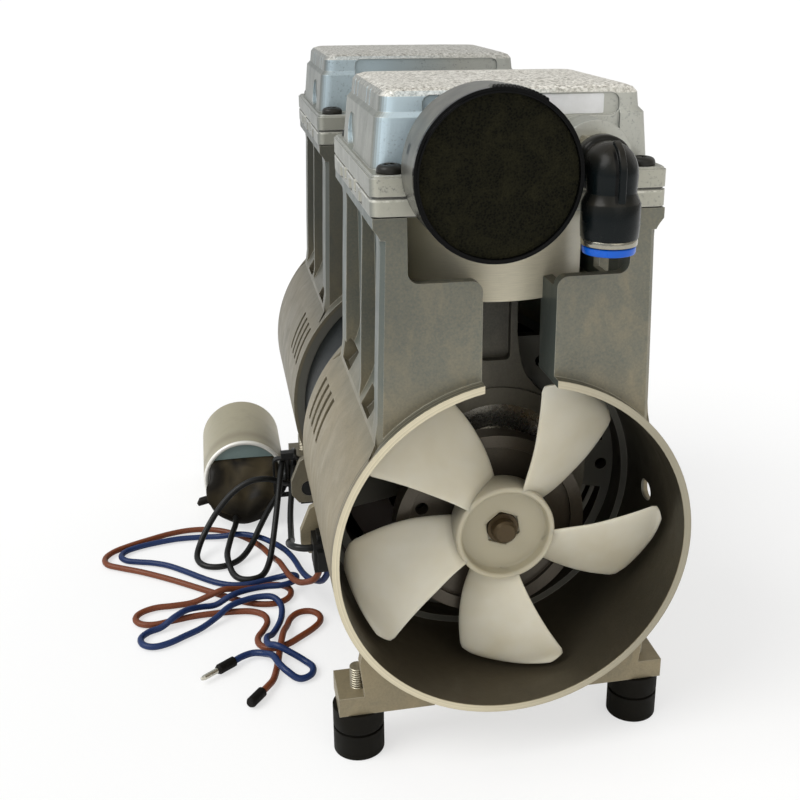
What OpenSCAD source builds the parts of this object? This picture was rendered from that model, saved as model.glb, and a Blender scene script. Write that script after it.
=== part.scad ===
// Twin-cylinder oil-free vacuum pump with a fan in each end, millimetres.
// X is to the right seen from the front, Y goes back, Z is up, and the feet stand on Z = 0.
// The front half is drawn at negative Y and the rear half is its mirror image.

/* [Layout] */
// Height of the shaft above the floor
shaft_z = 90; // [80:1:100]
// Distance of each cylinder from the middle of the machine
cyl_y = 82; // [74:0.5:90]
// Distance of each outer drum lip from the middle
lip_y = 137.5; // [130:0.5:145]
// Distance of each inner drum end from the middle
drum_in_y = 24.5; // [18:0.5:32]

/* [Crankcase drum] */
// Wall of the drum round the stator
drum_wall = 5.5; // [4:0.5:8]
// Wall of the drum at its lip
lip_wall = 2.7; // [2:0.1:5]
// Distance from the middle where the drum steps to a thicker wall
step_y = 78; // [74:0.5:90]
// Radius of the seat that holds the stator
seat_r = 62; // [58:0.5:64]
// Thickness of the bulkhead that carries the main bearing
web_t = 5; // [4:0.5:8]
// Distance of the outer face of the bulkhead from the middle
web_y = 68; // [64:0.5:72]
// Radius of the bearing housing in the bulkhead
housing_r = 25; // [23:0.5:30]
// Length of the bearing housing
housing_len = 15; // [12:0.5:18]
// Inner radius of the bulkhead windows
window_r0 = 31; // [28:0.5:36]
// Rim of the bulkhead outside its windows
window_rim = 4; // [2:0.5:10]
// Angle that each bulkhead window covers
window_deg = 38; // [30:1:50]

/* [Crankcase tower] */
// Height of the tower top
tower_top = 214.3; // [205:0.1:225]
// Free space beside the cylinder sleeve in the tower
cavity_gap = 4.5; // [3:0.5:6]
// Thickness of the tower side below the lip
tower_wall = 6.9; // [5:0.1:9]
// How far the lip round the top stands out
lip_out = 2.6; // [1:0.1:3]
// How much wider each side is at the shoulder
tower_spread = 1.9; // [0:0.1:4]
// Thickness of the front and rear plates
plate_t = 4.5; // [3:0.5:8]
// How much narrower than the inside the front opening is on each side
opening_in = 1.9; // [1:0.1:6]
// Height of the sill of the front opening
sill_z = 192; // [186:0.5:198]
// Half of the width of the slot over the fan
slot_half = 13; // [10:0.5:16]
// Depth of the walls beside the slot
slot_wall_len = 18.5; // [10:0.5:24]
// Thickness of the walls beside the slot
slot_wall_t = 4; // [3:0.5:6]
// Corner radius of the front opening
opening_r = 4; // [2:0.5:6]
// Depth of the flutes in the tower sides
flute_depth = 4.4; // [2:0.1:5]
// Height of the foot of each flute
flute_z = 135.2; // [130:0.2:150]
// Bevel of the upright corners of the tower
corner_bevel = 1.6; // [0.6:0.1:2.5]
// Height of the seat ledge under the cylinder
ledge_t = 6; // [4:0.5:8]

/* [Crankcase openings] */
// Width of one louvre slot
louvre_w = 4.2; // [2:0.1:6]
// Angle at the middle of the upper louvres
louvre_up_deg = 156; // [150:1:162]
// Angle at the middle of the lower louvres
louvre_low_deg = 201.5; // [196:0.5:206]
// Angle that a louvre covers
louvre_span = 17; // [12:1:20]
// Height of the cooling window in the right wall
side_window_h = 20; // [12:1:26]
// Width of the cooling window in the right wall
side_window_w = 16; // [10:1:20]

/* [Feet] */
// Radius of a rubber foot
foot_r = 10; // [8:0.5:14]
// Height of a rubber foot
foot_h = 20; // [12:1:30]
// Distance of the feet from the middle in X
foot_x = 57; // [50:0.5:64]
// Distance of the feet from the middle in Y
foot_y = 116.5; // [100:0.5:125]
// Thickness of the lug over a foot
lug_t = 8; // [5:0.5:10]
// Half of the width across the lugs
lug_half = 65.3; // [60:0.1:70]
// Tapping radius of the thread in a foot
insert_bore_r = 2.5; // [2:0.1:4]
// Radius of the foot studs
stud_r = 3; // [2.5:0.5:4]

/* [Crank and cylinder] */
// Crank throw, half of the stroke
throw = 9.5; // [8:0.1:11]
// Angle of the front crank pin in the photograph
crank_deg = 70; // [60:1:90]
// Radius of the shaft in the rotor and the main bearings
shaft_r = 8.5; // [7.5:0.5:10]
// Radius of the shaft under the eccentric and the fan
shaft_end_r = 6; // [5:0.5:7]
// Distance of the shaft end from the middle
shaft_end_y = 121.4; // [118:0.2:122]
// Radius of the stub at each shaft end
stub_r = 4.6; // [3:0.1:5.5]
// Radius of the crank journal
journal_r = 17.5; // [16.5:0.5:19]
// Outer radius of the crank bearing
crank_bearing_r = 31; // [28:0.5:34]
// Width of the crank bearing
crank_bearing_w = 14; // [10:0.5:16]
// Outer radius of the eye of the rod
rod_eye_r = 38; // [35:0.5:40]
// Width of the rod along the shaft
rod_w = 16; // [12:0.5:18]
// Half of the width of the rod shank
shank_half = 8.5; // [6:0.5:11]
// Radius of the counterweight disc
weight_r = 37.9; // [34:0.1:42]
// Offset of the counterweight disc from the shaft
weight_off = 5; // [3:0.5:6]
// Outer radius of the cylinder sleeve
sleeve_r = 36; // [34:0.5:37]
// Wall of the cylinder sleeve
sleeve_wall = 4; // [3:0.5:5]
// Height of the lower end of the sleeve
sleeve_z = 180; // [174:0.5:186]

/* [Motor] */
// Half of the length of the stator core
stator_half = 36; // [30:1:45]
// Radius of the rotor
rotor_r = 33; // [28:0.5:36]
// Air gap between the rotor and the stator
air_gap = 0.6; // [0.3:0.1:1]
// Number of stator slots
stator_slots = 12; // [8:1:24]
// Free space between the end windings and the long bolts
winding_gap = 0.5; // [0.4:0.1:3]
// Radius of the long bolts
bolt_r = 2.5; // [2:0.5:3]
// Distance of the long bolts inside the stator's seat
bolt_in = 5; // [4:0.5:8]

/* [Head] */
// How far the head stands out past the tower's lip
head_out = 0.5; // [0:0.1:1.5]
// Thickness of the valve plate
valve_plate_t = 6.5; // [4:0.5:8]
// Thickness of the head flange
flange_t = 7.2; // [5:0.1:9]
// Height of the head above its flange
dome_h = 25; // [20:1:30]
// Ledge of the flange beside the head's body
dome_in = 2.2; // [1:0.1:4]
// Ledge of the flange in front of and behind the head's body
dome_in_y = 11.3; // [11:0.1:14]
// Distance of a head screw from the head's side
screw_in_x = 7.5; // [6:0.5:9]
// Distance of a head screw from the head's front or back edge
screw_in_y = 6; // [5.5:0.1:6.5]
// Radius of a head screw thread
screw_r = 2.5; // [2:0.5:3]
// Radius of a head screw's head
screw_head_r = 4.6; // [4:0.1:5.5]

/* [Fan] */
// Radius of the fan hub
hub_r = 19.2; // [16:0.2:24]
// Free space between the fan blades and the drum
blade_gap = 2.8; // [1:0.1:8]
// Number of blades
blades = 5; // [3:1:7]
// Angle of the first blade
blade_deg = -12; // [-36:1:36]
// Angle that a blade covers near its tip
blade_span = 37; // [28:1:50]
// Distance along the shaft between the two edges of a blade
blade_pitch = 14; // [8:1:18]
// Thickness of a blade
blade_t = 1.8; // [1.2:0.1:3]

/* [Muffler and fitting] */
// Radius of the intake muffler
muffler_r = 27; // [20:0.5:32]
// Length of the intake muffler
muffler_len = 22; // [16:1:30]
// Free space between the muffler and the head
muffler_gap = 0.5; // [0.5:0.5:5]
// Position of the muffler in X
muffler_x = -13.5; // [-20:0.5:-5]
// Height of the muffler
muffler_z = 230; // [225:0.5:235]
// Position of the elbow fitting in X
elbow_x = 24; // [20:0.5:30]
// Distance of the elbow's upright part in front of the head
elbow_out = 17.5; // [16:0.5:22]
// Height of the elbow's thread
elbow_z = 232; // [228:0.5:238]
// Radius of the elbow collar
collar_r = 9.8; // [8:0.1:11]
// Radius of the tube that the elbow takes
tube_r = 6; // [4:0.5:8]
// Depth of the tube socket
socket_len = 17; // [12:1:20]

/* [Capacitor and leads] */
// Radius of the capacitor can
cap_r = 22.5; // [18:0.5:26]
// Length of the capacitor can
cap_len = 62; // [50:1:80]
// Free space between the capacitor and the drum
cap_gap = 2; // [1:0.5:6]
// Distance of the capacitor's near rim from the middle
cap_y = 94; // [90:0.5:100]
// Radius of the boot over the capacitor's terminals
boot_r = 20.5; // [16:0.5:21]
// Length of the boot where it stands on the floor
boot_len = 19; // [10:0.5:19]
// Radius of a brown or blue lead
lead_r = 1.5; // [1:0.1:1.6]
// Radius of the capacitor's lead
cap_lead_r = 1.6; // [1:0.1:1.7]
// Radius of the sleeve on a lead's end
end_sleeve_r = 2.3; // [1.8:0.1:2.3]
// Length of the sleeve on a lead's end
end_sleeve_len = 9; // [6:0.5:14]
// Radius of the tinned end of the blue lead
end_pin_r = 1.2; // [0.8:0.1:1.4]
// Width of the tie round the capacitor's lead
tie_w = 4; // [2.5:0.5:4.5]
// Width of the gland that the leads leave through
gland_w = 9; // [7:0.5:10]
// Length of the gland along the shaft
gland_len = 14; // [12:0.5:16]
// Radius of the gland's neck
gland_neck_r = 4; // [3:0.1:4.5]

/* [Fits] */
// Radial running clearance of a shaft or piston
run_gap = 0.05; // [0.02:0.01:0.1]
// Radial clearance between fixed parts
fit_gap = 0.1; // [0.05:0.05:0.3]
// Free space between parts that pass each other
free_gap = 0.6; // [0.4:0.1:1.5]

/* [Hidden] */
drum_r = seat_r + drum_wall;
window_r1 = seat_r - window_rim;
bolt_circle = seat_r - bolt_in;
winding_r = bolt_circle - bolt_r - winding_gap;
blade_r = drum_r - lip_wall - blade_gap;
bore_r = sleeve_r - sleeve_wall;
cavity_half = sleeve_r + cavity_gap;
opening_half = cavity_half - opening_in;
tower_half = cavity_half + tower_wall;
tower_low_half = tower_half + tower_spread;
lip_half = tower_half + lip_out;
head_w = 2 * (lip_half + head_out);
tower_len = head_w;
screw_x = head_w / 2 - screw_in_x;
screw_y = head_w / 2 - screw_in_y;
dome_half = head_w / 2 - dome_in;
dome_len_half = head_w / 2 - dome_in_y;
cavity_len_half = head_w / 2 - 10.5;
tower_front_y = cyl_y + tower_len / 2;
tower_back_y = cyl_y - tower_len / 2;
head_z = tower_top + valve_plate_t;
flange_z = head_z + flange_t;
pin_x = throw * cos(crank_deg);
pin_z = throw * sin(crank_deg);
pin_drop = throw - pin_z;
crown_z = tower_top - 1 - pin_drop;
rod_top_z = 184;
weight_y = 97;
fan_y = 122;
bearing_r = 20;
thread_r = 6.6;
crossover_r = 6;
crossover_z = 237;
tube_bore_r = crossover_r + fit_gap;
elbow_axis_z = elbow_z - 1;
muffler_y = tower_front_y + muffler_len + muffler_gap;
elbow_y = tower_front_y + elbow_out;
cap_x = -drum_r - cap_r - cap_gap;
collar_z0 = elbow_axis_z - 26;
boss_y = 28;
gland_x0 = -66;
gland_z0 = 36;
gland_top = 50;
gland_neck_x = -61.5;
gland_neck_z = 46;
// Middle lines of the three leads, from where each leaves the gland
brown_route = [
  [-63, -33, 36], [-63, -33, 33], [-63.8, -31, 28.6], [-65.6, -26.6, 23.6], [-68, -20, 19],
  [-71, -11, 14], [-73.6, -2, 11], [-75.6, 7, 9.4], [-77.4, 16, 8.4], [-78.6, 25, 6],
  [-80.2, 33, 3.4], [-82.6, 41, 1.8], [-86, 50, 1.6], [-91.5, 59, 1.6], [-99.5, 68, 1.6],
  [-110, 75, 1.6], [-122, 77.5, 1.6], [-134, 75.5, 1.6], [-146, 70.5, 1.6], [-156, 65.5, 1.6],
  [-163, 60.5, 1.6], [-166.4, 54.4, 1.6], [-165, 48, 1.6], [-159, 43.6, 1.6], [-148, 37, 1.6],
  [-138, 30, 1.6], [-129, 23, 1.6], [-120, 15.5, 1.6], [-111, 8, 1.6], [-103, 1.5, 1.6],
  [-96.5, -3.4, 1.6], [-89.5, -6.6, 1.6], [-82.4, -7.2, 1.6], [-76.6, -3.8, 1.6],
  [-74.6, 2.4, 1.6], [-77.4, 8, 1.6], [-83.6, 10.4, 1.6], [-91.6, 9.2, 1.6], [-100, 6.8, 3.4],
  [-107, 4.6, 5.2], [-114, 3, 3.6], [-122, 1.6, 1.6], [-131, 0.6, 1.6], [-139.4, 0.4, 1.6],
  [-146, -2.8, 1.6], [-148.2, -7.6, 1.6], [-145.8, -12.4, 1.6], [-139.8, -14.4, 1.6],
  [-130.5, -12.6, 1.6], [-121, -10.8, 1.6], [-111, -10.4, 1.6], [-101.5, -10.8, 1.6],
  [-94, -12.4, 1.6], [-88.8, -16.8, 1.6], [-87.6, -23, 1.6], [-89.8, -29.6, 1.6],
  [-92.6, -35.6, 1.6], [-91.8, -41.6, 1.6], [-86.8, -45.2, 1.6], [-80, -43.4, 1.6],
  [-73, -38, 1.6], [-66.6, -32.2, 1.6], [-63.2, -27, 1.6], [-63.4, -21.4, 1.6],
  [-67.2, -17.6, 1.6], [-72.6, -17.8, 1.6], [-76.6, -22, 1.6], [-78.8, -28.6, 2],
  [-80.6, -35.4, 4], [-82, -42.8, 5.2], [-83.6, -50, 3.6], [-85, -57, 1.8], [-86.4, -64, 1.6],
  [-88, -70, 2], [-90.6, -74.6, 2.4], [-93, -77.8, 2.4]];
blue_route = [
  [-59.2, -33, 36], [-59.2, -33, 33], [-59.8, -31, 28], [-61.4, -26.5, 22.8], [-63.6, -19, 18.6],
  [-66, -10, 14.8], [-68, 0, 12], [-69.4, 10, 9.8], [-70.6, 20, 8], [-72.4, 30, 6.4],
  [-75.5, 39.5, 5.4], [-80.8, 48, 5.2], [-88, 55.4, 5.4], [-97, 61, 5], [-107, 65.4, 2.4],
  [-118, 68.2, 1.6], [-130, 68.6, 1.6], [-141, 66.6, 1.6], [-150, 63.8, 1.6],
  [-156.2, 60.2, 1.6], [-158.4, 55, 1.6], [-155.6, 50.2, 1.6], [-149.8, 47.6, 1.6],
  [-142.4, 45, 1.6], [-134.5, 40.6, 1.6], [-126, 33, 1.6], [-118, 25, 1.6], [-110.5, 18.4, 1.6],
  [-103, 14.4, 1.6], [-95, 13.4, 1.6], [-87, 15.2, 1.6], [-79.6, 17, 1.8], [-73.6, 15.2, 3.4],
  [-71, 10.2, 5], [-73.4, 5.2, 5.2], [-79.4, 3, 5.2], [-87, 3.4, 5.2], [-96.6, 1.6, 5.2],
  [-103.6, -1.8, 5.2], [-111, -4.4, 2.6], [-118, -6.6, 3.6], [-124.4, -10.6, 5.2],
  [-130, -15, 4.8], [-136, -18, 2], [-141.8, -20.4, 1.6], [-145, -25, 1.6], [-143.6, -30.4, 1.6],
  [-138.8, -33, 1.6], [-132.4, -31.4, 1.6], [-125.4, -27, 1.6], [-118, -22, 1.6],
  [-111, -16.6, 3], [-104.6, -11.6, 5.2], [-97.6, -7.4, 5.2], [-90, -5.6, 5.2],
  [-83.6, -7.4, 5.2], [-80.4, -13, 3.6], [-80.8, -20, 1.8], [-83, -27.4, 1.6], [-86, -34.4, 2],
  [-88.6, -40.4, 4.6], [-88.4, -46.6, 5.2], [-84.6, -51.4, 6.8], [-78.6, -54.8, 4.4],
  [-73, -58.4, 1.8], [-70.2, -63.4, 1.6], [-71.6, -68.8, 1.6], [-76.8, -71, 2],
  [-81.6, -68, 4.4], [-84.8, -62.6, 5.2], [-86.8, -56.6, 5.2], [-89.8, -51.2, 3.2],
  [-95, -48.6, 2.6], [-100, -50.2, 2.6], [-104, -53.2, 2.6]];
cap_route = [
  [-66, -35, 45], [-69, -35, 45], [-72.4, -33.6, 45], [-74.8, -30.4, 44.4], [-75.8, -25.6, 43],
  [-75.2, -18, 40], [-73.6, -8, 35], [-73, 5, 29.6], [-72.2, 19, 26], [-71.4, 33, 25],
  [-70.2, 46, 26.4], [-68.6, 57, 29.6], [-67, 66.5, 33.6], [-65.8, 75, 37], [-65.2, 82, 38.6],
  [-64.8, 88.5, 38.5], [-64.5, 94.2, 36.2], [-64.4, 96.5, 30.5], [-64.5, 94.2, 24.8],
  [-64.8, 88.5, 22.5], [-65.8, 81.5, 22.6], [-68.2, 74.5, 25.4], [-73.5, 68.5, 30],
  [-81, 65.5, 34], [-90, 64, 34], [-99, 63, 29], [-107, 61, 21], [-113.5, 57.5, 12.6],
  [-118, 51.5, 6], [-119.6, 44, 2.6], [-116.6, 37, 1.8], [-110, 33.6, 1.8], [-103, 35, 1.8],
  [-97, 40, 2.2], [-91.6, 47.5, 5], [-86.4, 56, 10.8], [-81, 64, 16.4], [-76, 70, 20.8],
  [-72.2, 74.6, 23.2], [-70.8, 80, 24], [-70, 85.6, 26], [-69.6, 88, 31.3], [-70, 85.6, 36.6],
  [-71, 80, 38.6], [-72.4, 73, 37.8], [-74.4, 63.5, 33], [-76.6, 53, 25.4], [-79, 43, 17.4],
  [-81.4, 34, 9.8], [-83.8, 26.6, 4.6], [-87.4, 20.4, 2], [-93, 17.6, 1.8], [-98.6, 19.4, 1.8],
  [-102, 24.6, 2.4], [-103.8, 32, 5], [-104.2, 40, 5.4], [-103.2, 48, 5.6], [-101.2, 56, 7.8],
  [-99.4, 63.4, 8.4], [-98.6, 70, 8], [-98.6, 75, 8]];
CAST = [0.62, 0.61, 0.57];
STEEL = [0.72, 0.73, 0.75];
DARK = [0.16, 0.16, 0.17];
NYLON = [0.93, 0.92, 0.88];

// Cylinder along Y from y0 to y1
module bar(r, y0, y1, x = 0, z = 0, fn = 96) {
  translate([x, y1, z])
    rotate([90, 0, 0]) cylinder(r = r, h = y1 - y0, $fn = fn);
}

// Cylinder along Z from z0 to z1
module post(r, z0, z1, x = 0, y = 0, fn = 48) {
  translate([x, y, z0]) cylinder(r = r, h = z1 - z0, $fn = fn);
}

// Box from its low corner to its high corner
module block(x0, x1, y0, y1, z0, z1) {
  translate([x0, y0, z0]) cube([x1 - x0, y1 - y0, z1 - z0]);
}

// Front-view outline pulled from y0 to y1
module slab(y0, y1) {
  translate([0, y1, 0])
    rotate([90, 0, 0]) linear_extrude(height = y1 - y0) children();
}

// Side-view outline pulled from x0 to x1
module side_slab(x0, x1) {
  translate([x0, 0, 0])
    rotate([90, 0, 90]) linear_extrude(height = x1 - x0) children();
}

// Rectangle with round corners
module soft_rect(x0, x1, y0, y1, r) {
  translate([x0 + r, y0]) square([x1 - x0 - 2 * r, y1 - y0]);
  translate([x0, y0 + r]) square([x1 - x0, y1 - y0 - 2 * r]);
  for (x = [x0 + r, x1 - r], y = [y0 + r, y1 - r])
    translate([x, y]) circle(r = r, $fn = 32);
}

// Sector of a ring in the front view
module ring_sector(r0, r1, deg, mid) {
  rotate(mid)
    polygon(concat(
      [for (i = [0 : 8]) r0 * [cos(deg * (i / 8 - 0.5)), sin(deg * (i / 8 - 0.5))]],
      [for (i = [8 : -1 : 0]) r1 * [cos(deg * (i / 8 - 0.5)), sin(deg * (i / 8 - 0.5))]]));
}

// Mirror for the rear half
module rear() {
  mirror([0, 1, 0]) children();
}

// Outline of the tower in the front view, with a lip round its top
tower_side = [
  [38, 126], [tower_low_half + 1.3, 134], [tower_low_half, 143], [tower_low_half - 0.4, 160],
  [tower_half + 0.6, 187], [tower_half, tower_top - 10.3], [tower_half + 0.2, tower_top - 7],
  [lip_half - 1.4, tower_top - 5.3], [lip_half, tower_top - 3.5], [lip_half, tower_top]];
module tower_outline() {
  polygon(concat(tower_side,
    [for (i = [len(tower_side) - 1 : -1 : 0]) [-tower_side[i][0], tower_side[i][1]]]));
}

// Cuts that bevel the four upright corners of the tower
module corner_bevels() {
  for (s = [0, 1], t = [0, 1])
    mirror([s, 0, 0]) translate([0, -cyl_y, 0]) mirror([0, t, 0])
      translate([tower_low_half, tower_len / 2, 143]) rotate([0, -1.7, 0])
        translate([0, 0, -12]) linear_extrude(height = 76)
          polygon([[-corner_bevel - 0.5, 0.5], [0.5, -corner_bevel - 0.5], [6, 6]]);
}

// Opening in the front plate, with the slot below it
module opening_outline() {
  difference() {
    union() {
      soft_rect(-opening_half, opening_half, sill_z, tower_top + 20, opening_r);
      translate([-slot_half - opening_r, sill_z - opening_r])
        square([2 * slot_half + 2 * opening_r, opening_r * 2]);
      translate([-slot_half, 120]) square([2 * slot_half, sill_z - 118]);
    }
    for (s = [-1, 1])
      translate([s * (slot_half + opening_r), sill_z - opening_r])
        circle(r = opening_r, $fn = 32);
  }
}

// Flute in both sides of the tower, from the lip down to a round foot
module flute(y0, y1) {
  floor_x = tower_half - flute_depth;
  for (s = [0, 1])
    mirror([s, 0, 0]) slab(y0, y1)
      polygon([
        [floor_x, tower_top - 7.8], [tower_half + 0.2, tower_top - 6.7], [80, tower_top - 6.7],
        [80, flute_z], [floor_x + 8.3, flute_z], [floor_x + 7.2, flute_z + 1.8],
        [floor_x + 5.6, flute_z + 4.2], [floor_x + 3.5, flute_z + 8],
        [floor_x + 1.6, flute_z + 12.2], [floor_x + 0.5, flute_z + 15.8],
        [floor_x, flute_z + 19.3]]);
}

module louvre(y, mid) {
  slab(-y - louvre_w / 2, -y + louvre_w / 2)
    translate([0, shaft_z]) ring_sector(seat_r - 3, drum_r + 4, louvre_span, mid);
}

// Wall between the drum and the front edge of a foot lug
module lug_wall() {
  polygon([
    [28, foot_h], [55.5, foot_h], [55.5, foot_h + 9], [57, foot_h + 22],
    [55.5, foot_h + 30], [45, foot_h + 30], [30, foot_h + 20]]);
}

// Narrower wall behind the foot
module lug_back_wall() {
  polygon([
    [30, foot_h], [52, foot_h], [52, foot_h + 9], [53, foot_h + 20],
    [50, foot_h + 28], [40, foot_h + 28]]);
}

module hood_outline() {
  polygon([
    [-58, 66], [-66, 61], [-70.5, 50], [-70.5, 43], [-67, 38.5], [-50, 38.5], [-40, 50]]);
}

module crankcase() {
  difference() {
    union() {
      bar(drum_r, -lip_y, -drum_in_y, 0, shaft_z, 180);
      slab(-tower_front_y, -tower_back_y) tower_outline();
      for (s = [0, 1])
        mirror([s, 0, 0]) {
          slab(-foot_y - 8.5, -foot_y - 3.6) lug_wall();
          block(30, lug_half, -foot_y - 8.5, -foot_y + 11, foot_h, foot_h + lug_t);
          slab(-foot_y + 7, -foot_y + 11) lug_back_wall();
        }
      // Cast hood over the gland of the leads
      slab(-boss_y, -drum_in_y) hood_outline();
    }
    // Fan and crank space, then the stator seat
    bar(drum_r - lip_wall, -lip_y - 1, -step_y, 0, shaft_z, 180);
    bar(seat_r, -step_y - 1, -drum_in_y + 1, 0, shaft_z, 180);
    // Inside of the tower
    block(-cavity_half, cavity_half, -cyl_y - cavity_len_half, -cyl_y + cavity_len_half,
      124, tower_top + 1);
    block(-opening_half, opening_half, -tower_front_y + plate_t, -tower_back_y - plate_t,
      124, tower_top + 1);
    slab(-lip_y - 1, -tower_front_y + plate_t + 0.5) opening_outline();
    corner_bevels();
    // Flutes in both sides
    flute(-cyl_y - cavity_len_half - 1, -cyl_y - 7);
    flute(-cyl_y - 5, -cyl_y + cavity_len_half - 3);
    // Window in the right wall
    block(30, 60, -cyl_y - 9 - side_window_w, -cyl_y - 9, 184, 184 + side_window_h);
    // Rectangular pockets on both shoulders
    for (s = [0, 1], y = [[-112, -95], [-59, -40]])
      mirror([s, 0, 0])
        slab(y[0], y[1])
          translate([0, shaft_z]) ring_sector(drum_r - 2, drum_r + 6, 7, 46.5);
    // Louvres
    for (y = [35.7, 44.5, 53.3, 62.1], a = [louvre_up_deg, 180 - louvre_up_deg]) louvre(y, a);
    for (y = [35.2, 43.7, 52.2], a = [louvre_low_deg, 540 - louvre_low_deg]) louvre(y, a);
    // Oval hole on the right
    translate([drum_r - 7.5, -99, shaft_z + 1.5]) rotate([0, 90, 0])
      linear_extrude(height = 12) soft_rect(-4, 4, -5, 5, 3.9);
    // Threads for the head screws
    for (x = [-screw_x, screw_x], y = [-screw_y, screw_y])
      post(screw_r + fit_gap, tower_top - 18, tower_top + 1, x, -cyl_y + y, 32);
    // Threads for the foot studs
    for (x = [-foot_x, foot_x])
      post(stud_r + run_gap, foot_h - 1, foot_h + lug_t + 1, x, -foot_y, 32);
    // Way out for the leads
    bar(gland_neck_r + fit_gap, -boss_y - 1, -drum_in_y + 1, gland_neck_x, gland_neck_z, 32);
  }
  // Ledges under the cylinder
  difference() {
    union() {
      for (s = [0, 1])
        mirror([s, 0, 0])
          block(31, cavity_half + 1, -cyl_y - 22, -cyl_y + 22, sleeve_z - ledge_t, sleeve_z);
      block(-20, 20, -cyl_y + 31, -tower_back_y - plate_t + 1, sleeve_z - ledge_t, sleeve_z);
    }
    post(bore_r + 1.5, sleeve_z - ledge_t - 1, sleeve_z + 1, 0, -cyl_y, 120);
  }
  // Walls beside the slot
  difference() {
    for (s = [0, 1])
      mirror([s, 0, 0])
        block(slot_half, slot_half + slot_wall_t, -tower_front_y + 1,
          -tower_front_y + slot_wall_len, 151, sill_z - opening_r);
    post(sleeve_r + fit_gap, sleeve_z, 220, 0, -cyl_y, 120);
    bar(drum_r - lip_wall, -lip_y, -step_y, 0, shaft_z, 180);
  }
}

module front_crankcase() {
  color(CAST) crankcase();
}

module rear_crankcase() {
  color(CAST) rear() crankcase();
}

// Bulkhead with its bearing housing, seated in the drum's bore
module bearing_web() {
  color([0.58, 0.57, 0.53]) difference() {
    union() {
      bar(seat_r - fit_gap, -web_y, -web_y + web_t, 0, shaft_z, 180);
      bar(housing_r, -web_y - 5, -web_y - 5 + housing_len, 0, shaft_z);
      // Arms that reach up into the tower
      block(-cavity_half + fit_gap, cavity_half - fit_gap, -web_y, -web_y + web_t, 134, 150);
    }
    bar(bearing_r + fit_gap, -web_y - 6, -web_y + 7, 0, shaft_z);
    bar(12, -web_y, -web_y + housing_len, 0, shaft_z, 48);
    for (k = [0 : 5])
      slab(-web_y - 1, -web_y + web_t + 1)
        translate([0, shaft_z]) difference() {
          ring_sector(window_r0, window_r1, window_deg, 30 + 60 * k);
          // Bosses round the long bolts
          for (a = [45 : 90 : 315])
            translate([bolt_circle * cos(a), bolt_circle * sin(a)]) circle(r = 7, $fn = 48);
        }
    slab(-web_y - 1, -web_y + web_t + 1) soft_rect(-18, 18, 142, 170, 4);
    for (a = [0 : 60 : 300])
      bar(2.6, -web_y - 1, -web_y + web_t + 1, (bolt_circle - 0.5) * cos(a),
        shaft_z + (bolt_circle - 0.5) * sin(a), 24);
    through_bolt_places() bar(bolt_r + fit_gap, -web_y - 1, -web_y + web_t + 1, 0, 0, 24);
  }
}

module front_bearing_web() {
  bearing_web();
}

module rear_bearing_web() {
  rear() bearing_web();
}

// Four long bolts clamp the two drums on the stator
module through_bolt_places() {
  for (a = [45 : 90 : 315])
    translate([bolt_circle * cos(a), 0, shaft_z + bolt_circle * sin(a)]) children();
}

module stator_core() {
  color(DARK) difference() {
    bar(seat_r - fit_gap, -stator_half, stator_half, 0, shaft_z, 180);
    bar(rotor_r + air_gap, -stator_half - 1, stator_half + 1, 0, shaft_z, 120);
    for (k = [0 : stator_slots - 1])
      translate([0, 0, shaft_z]) rotate([0, k * 360 / stator_slots, 0])
        block(38, 50, -stator_half - 1, stator_half + 1, -4.5, 4.5);
    through_bolt_places()
      bar(bolt_r + free_gap, -stator_half - 1, stator_half + 1, 0, 0, 32);
  }
}

module stator_windings() {
  color([0.72, 0.36, 0.16]) {
    for (k = [0 : stator_slots - 1])
      translate([0, 0, shaft_z]) rotate([0, k * 360 / stator_slots, 0])
        block(38.5, 49.5, -stator_half - 2, stator_half + 2, -4, 4);
    for (s = [0, 1])
      mirror([0, s, 0]) difference() {
        bar(winding_r, -stator_half - 18, -stator_half - 1, 0, shaft_z, 96);
        bar(37, -stator_half - 19, -stator_half, 0, shaft_z, 96);
      }
  }
}

module rotor_core() {
  color([0.4, 0.4, 0.42]) difference() {
    union() {
      bar(rotor_r, -stator_half, stator_half, 0, shaft_z, 120);
      bar(rotor_r - 3, -stator_half - 6, stator_half + 6, 0, shaft_z, 96);
    }
    bar(shaft_r + fit_gap, -stator_half - 7, stator_half + 7, 0, shaft_z, 64);
  }
}

module drive_shaft() {
  color(STEEL) {
    bar(shaft_r, -web_y - 5, web_y + 5, 0, shaft_z, 64);
    bar(shaft_end_r, -shaft_end_y + 4.4, shaft_end_y - 4.4, 0, shaft_z, 64);
    bar(stub_r, -shaft_end_y + 1, shaft_end_y - 1, 0, shaft_z, 48);
    for (s = [0, 1])
      mirror([0, s, 0])
        translate([0, -shaft_end_y + 1, shaft_z]) rotate([90, 0, 0])
          cylinder(r1 = stub_r, r2 = stub_r - 1, h = 1, $fn = 48);
  }
}

module bearing_ring(r_out, r_in, y0, y1) {
  difference() {
    bar(r_out, y0, y1, 0, 0, 96);
    bar(r_in, y0 - 1, y1 + 1, 0, 0, 96);
    for (y = [y0, y1])
      difference() {
        bar(r_out - (r_out - r_in) * 0.25, y - 0.8, y + 0.8, 0, 0, 96);
        bar(r_in + (r_out - r_in) * 0.25, y - 0.9, y + 0.9, 0, 0, 96);
      }
  }
}

module main_bearing() {
  color(STEEL) translate([0, 0, shaft_z])
    bearing_ring(bearing_r, shaft_r + run_gap, -web_y - 5, -web_y + 7);
}

module front_main_bearing() {
  main_bearing();
}

module rear_main_bearing() {
  rear() main_bearing();
}

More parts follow.
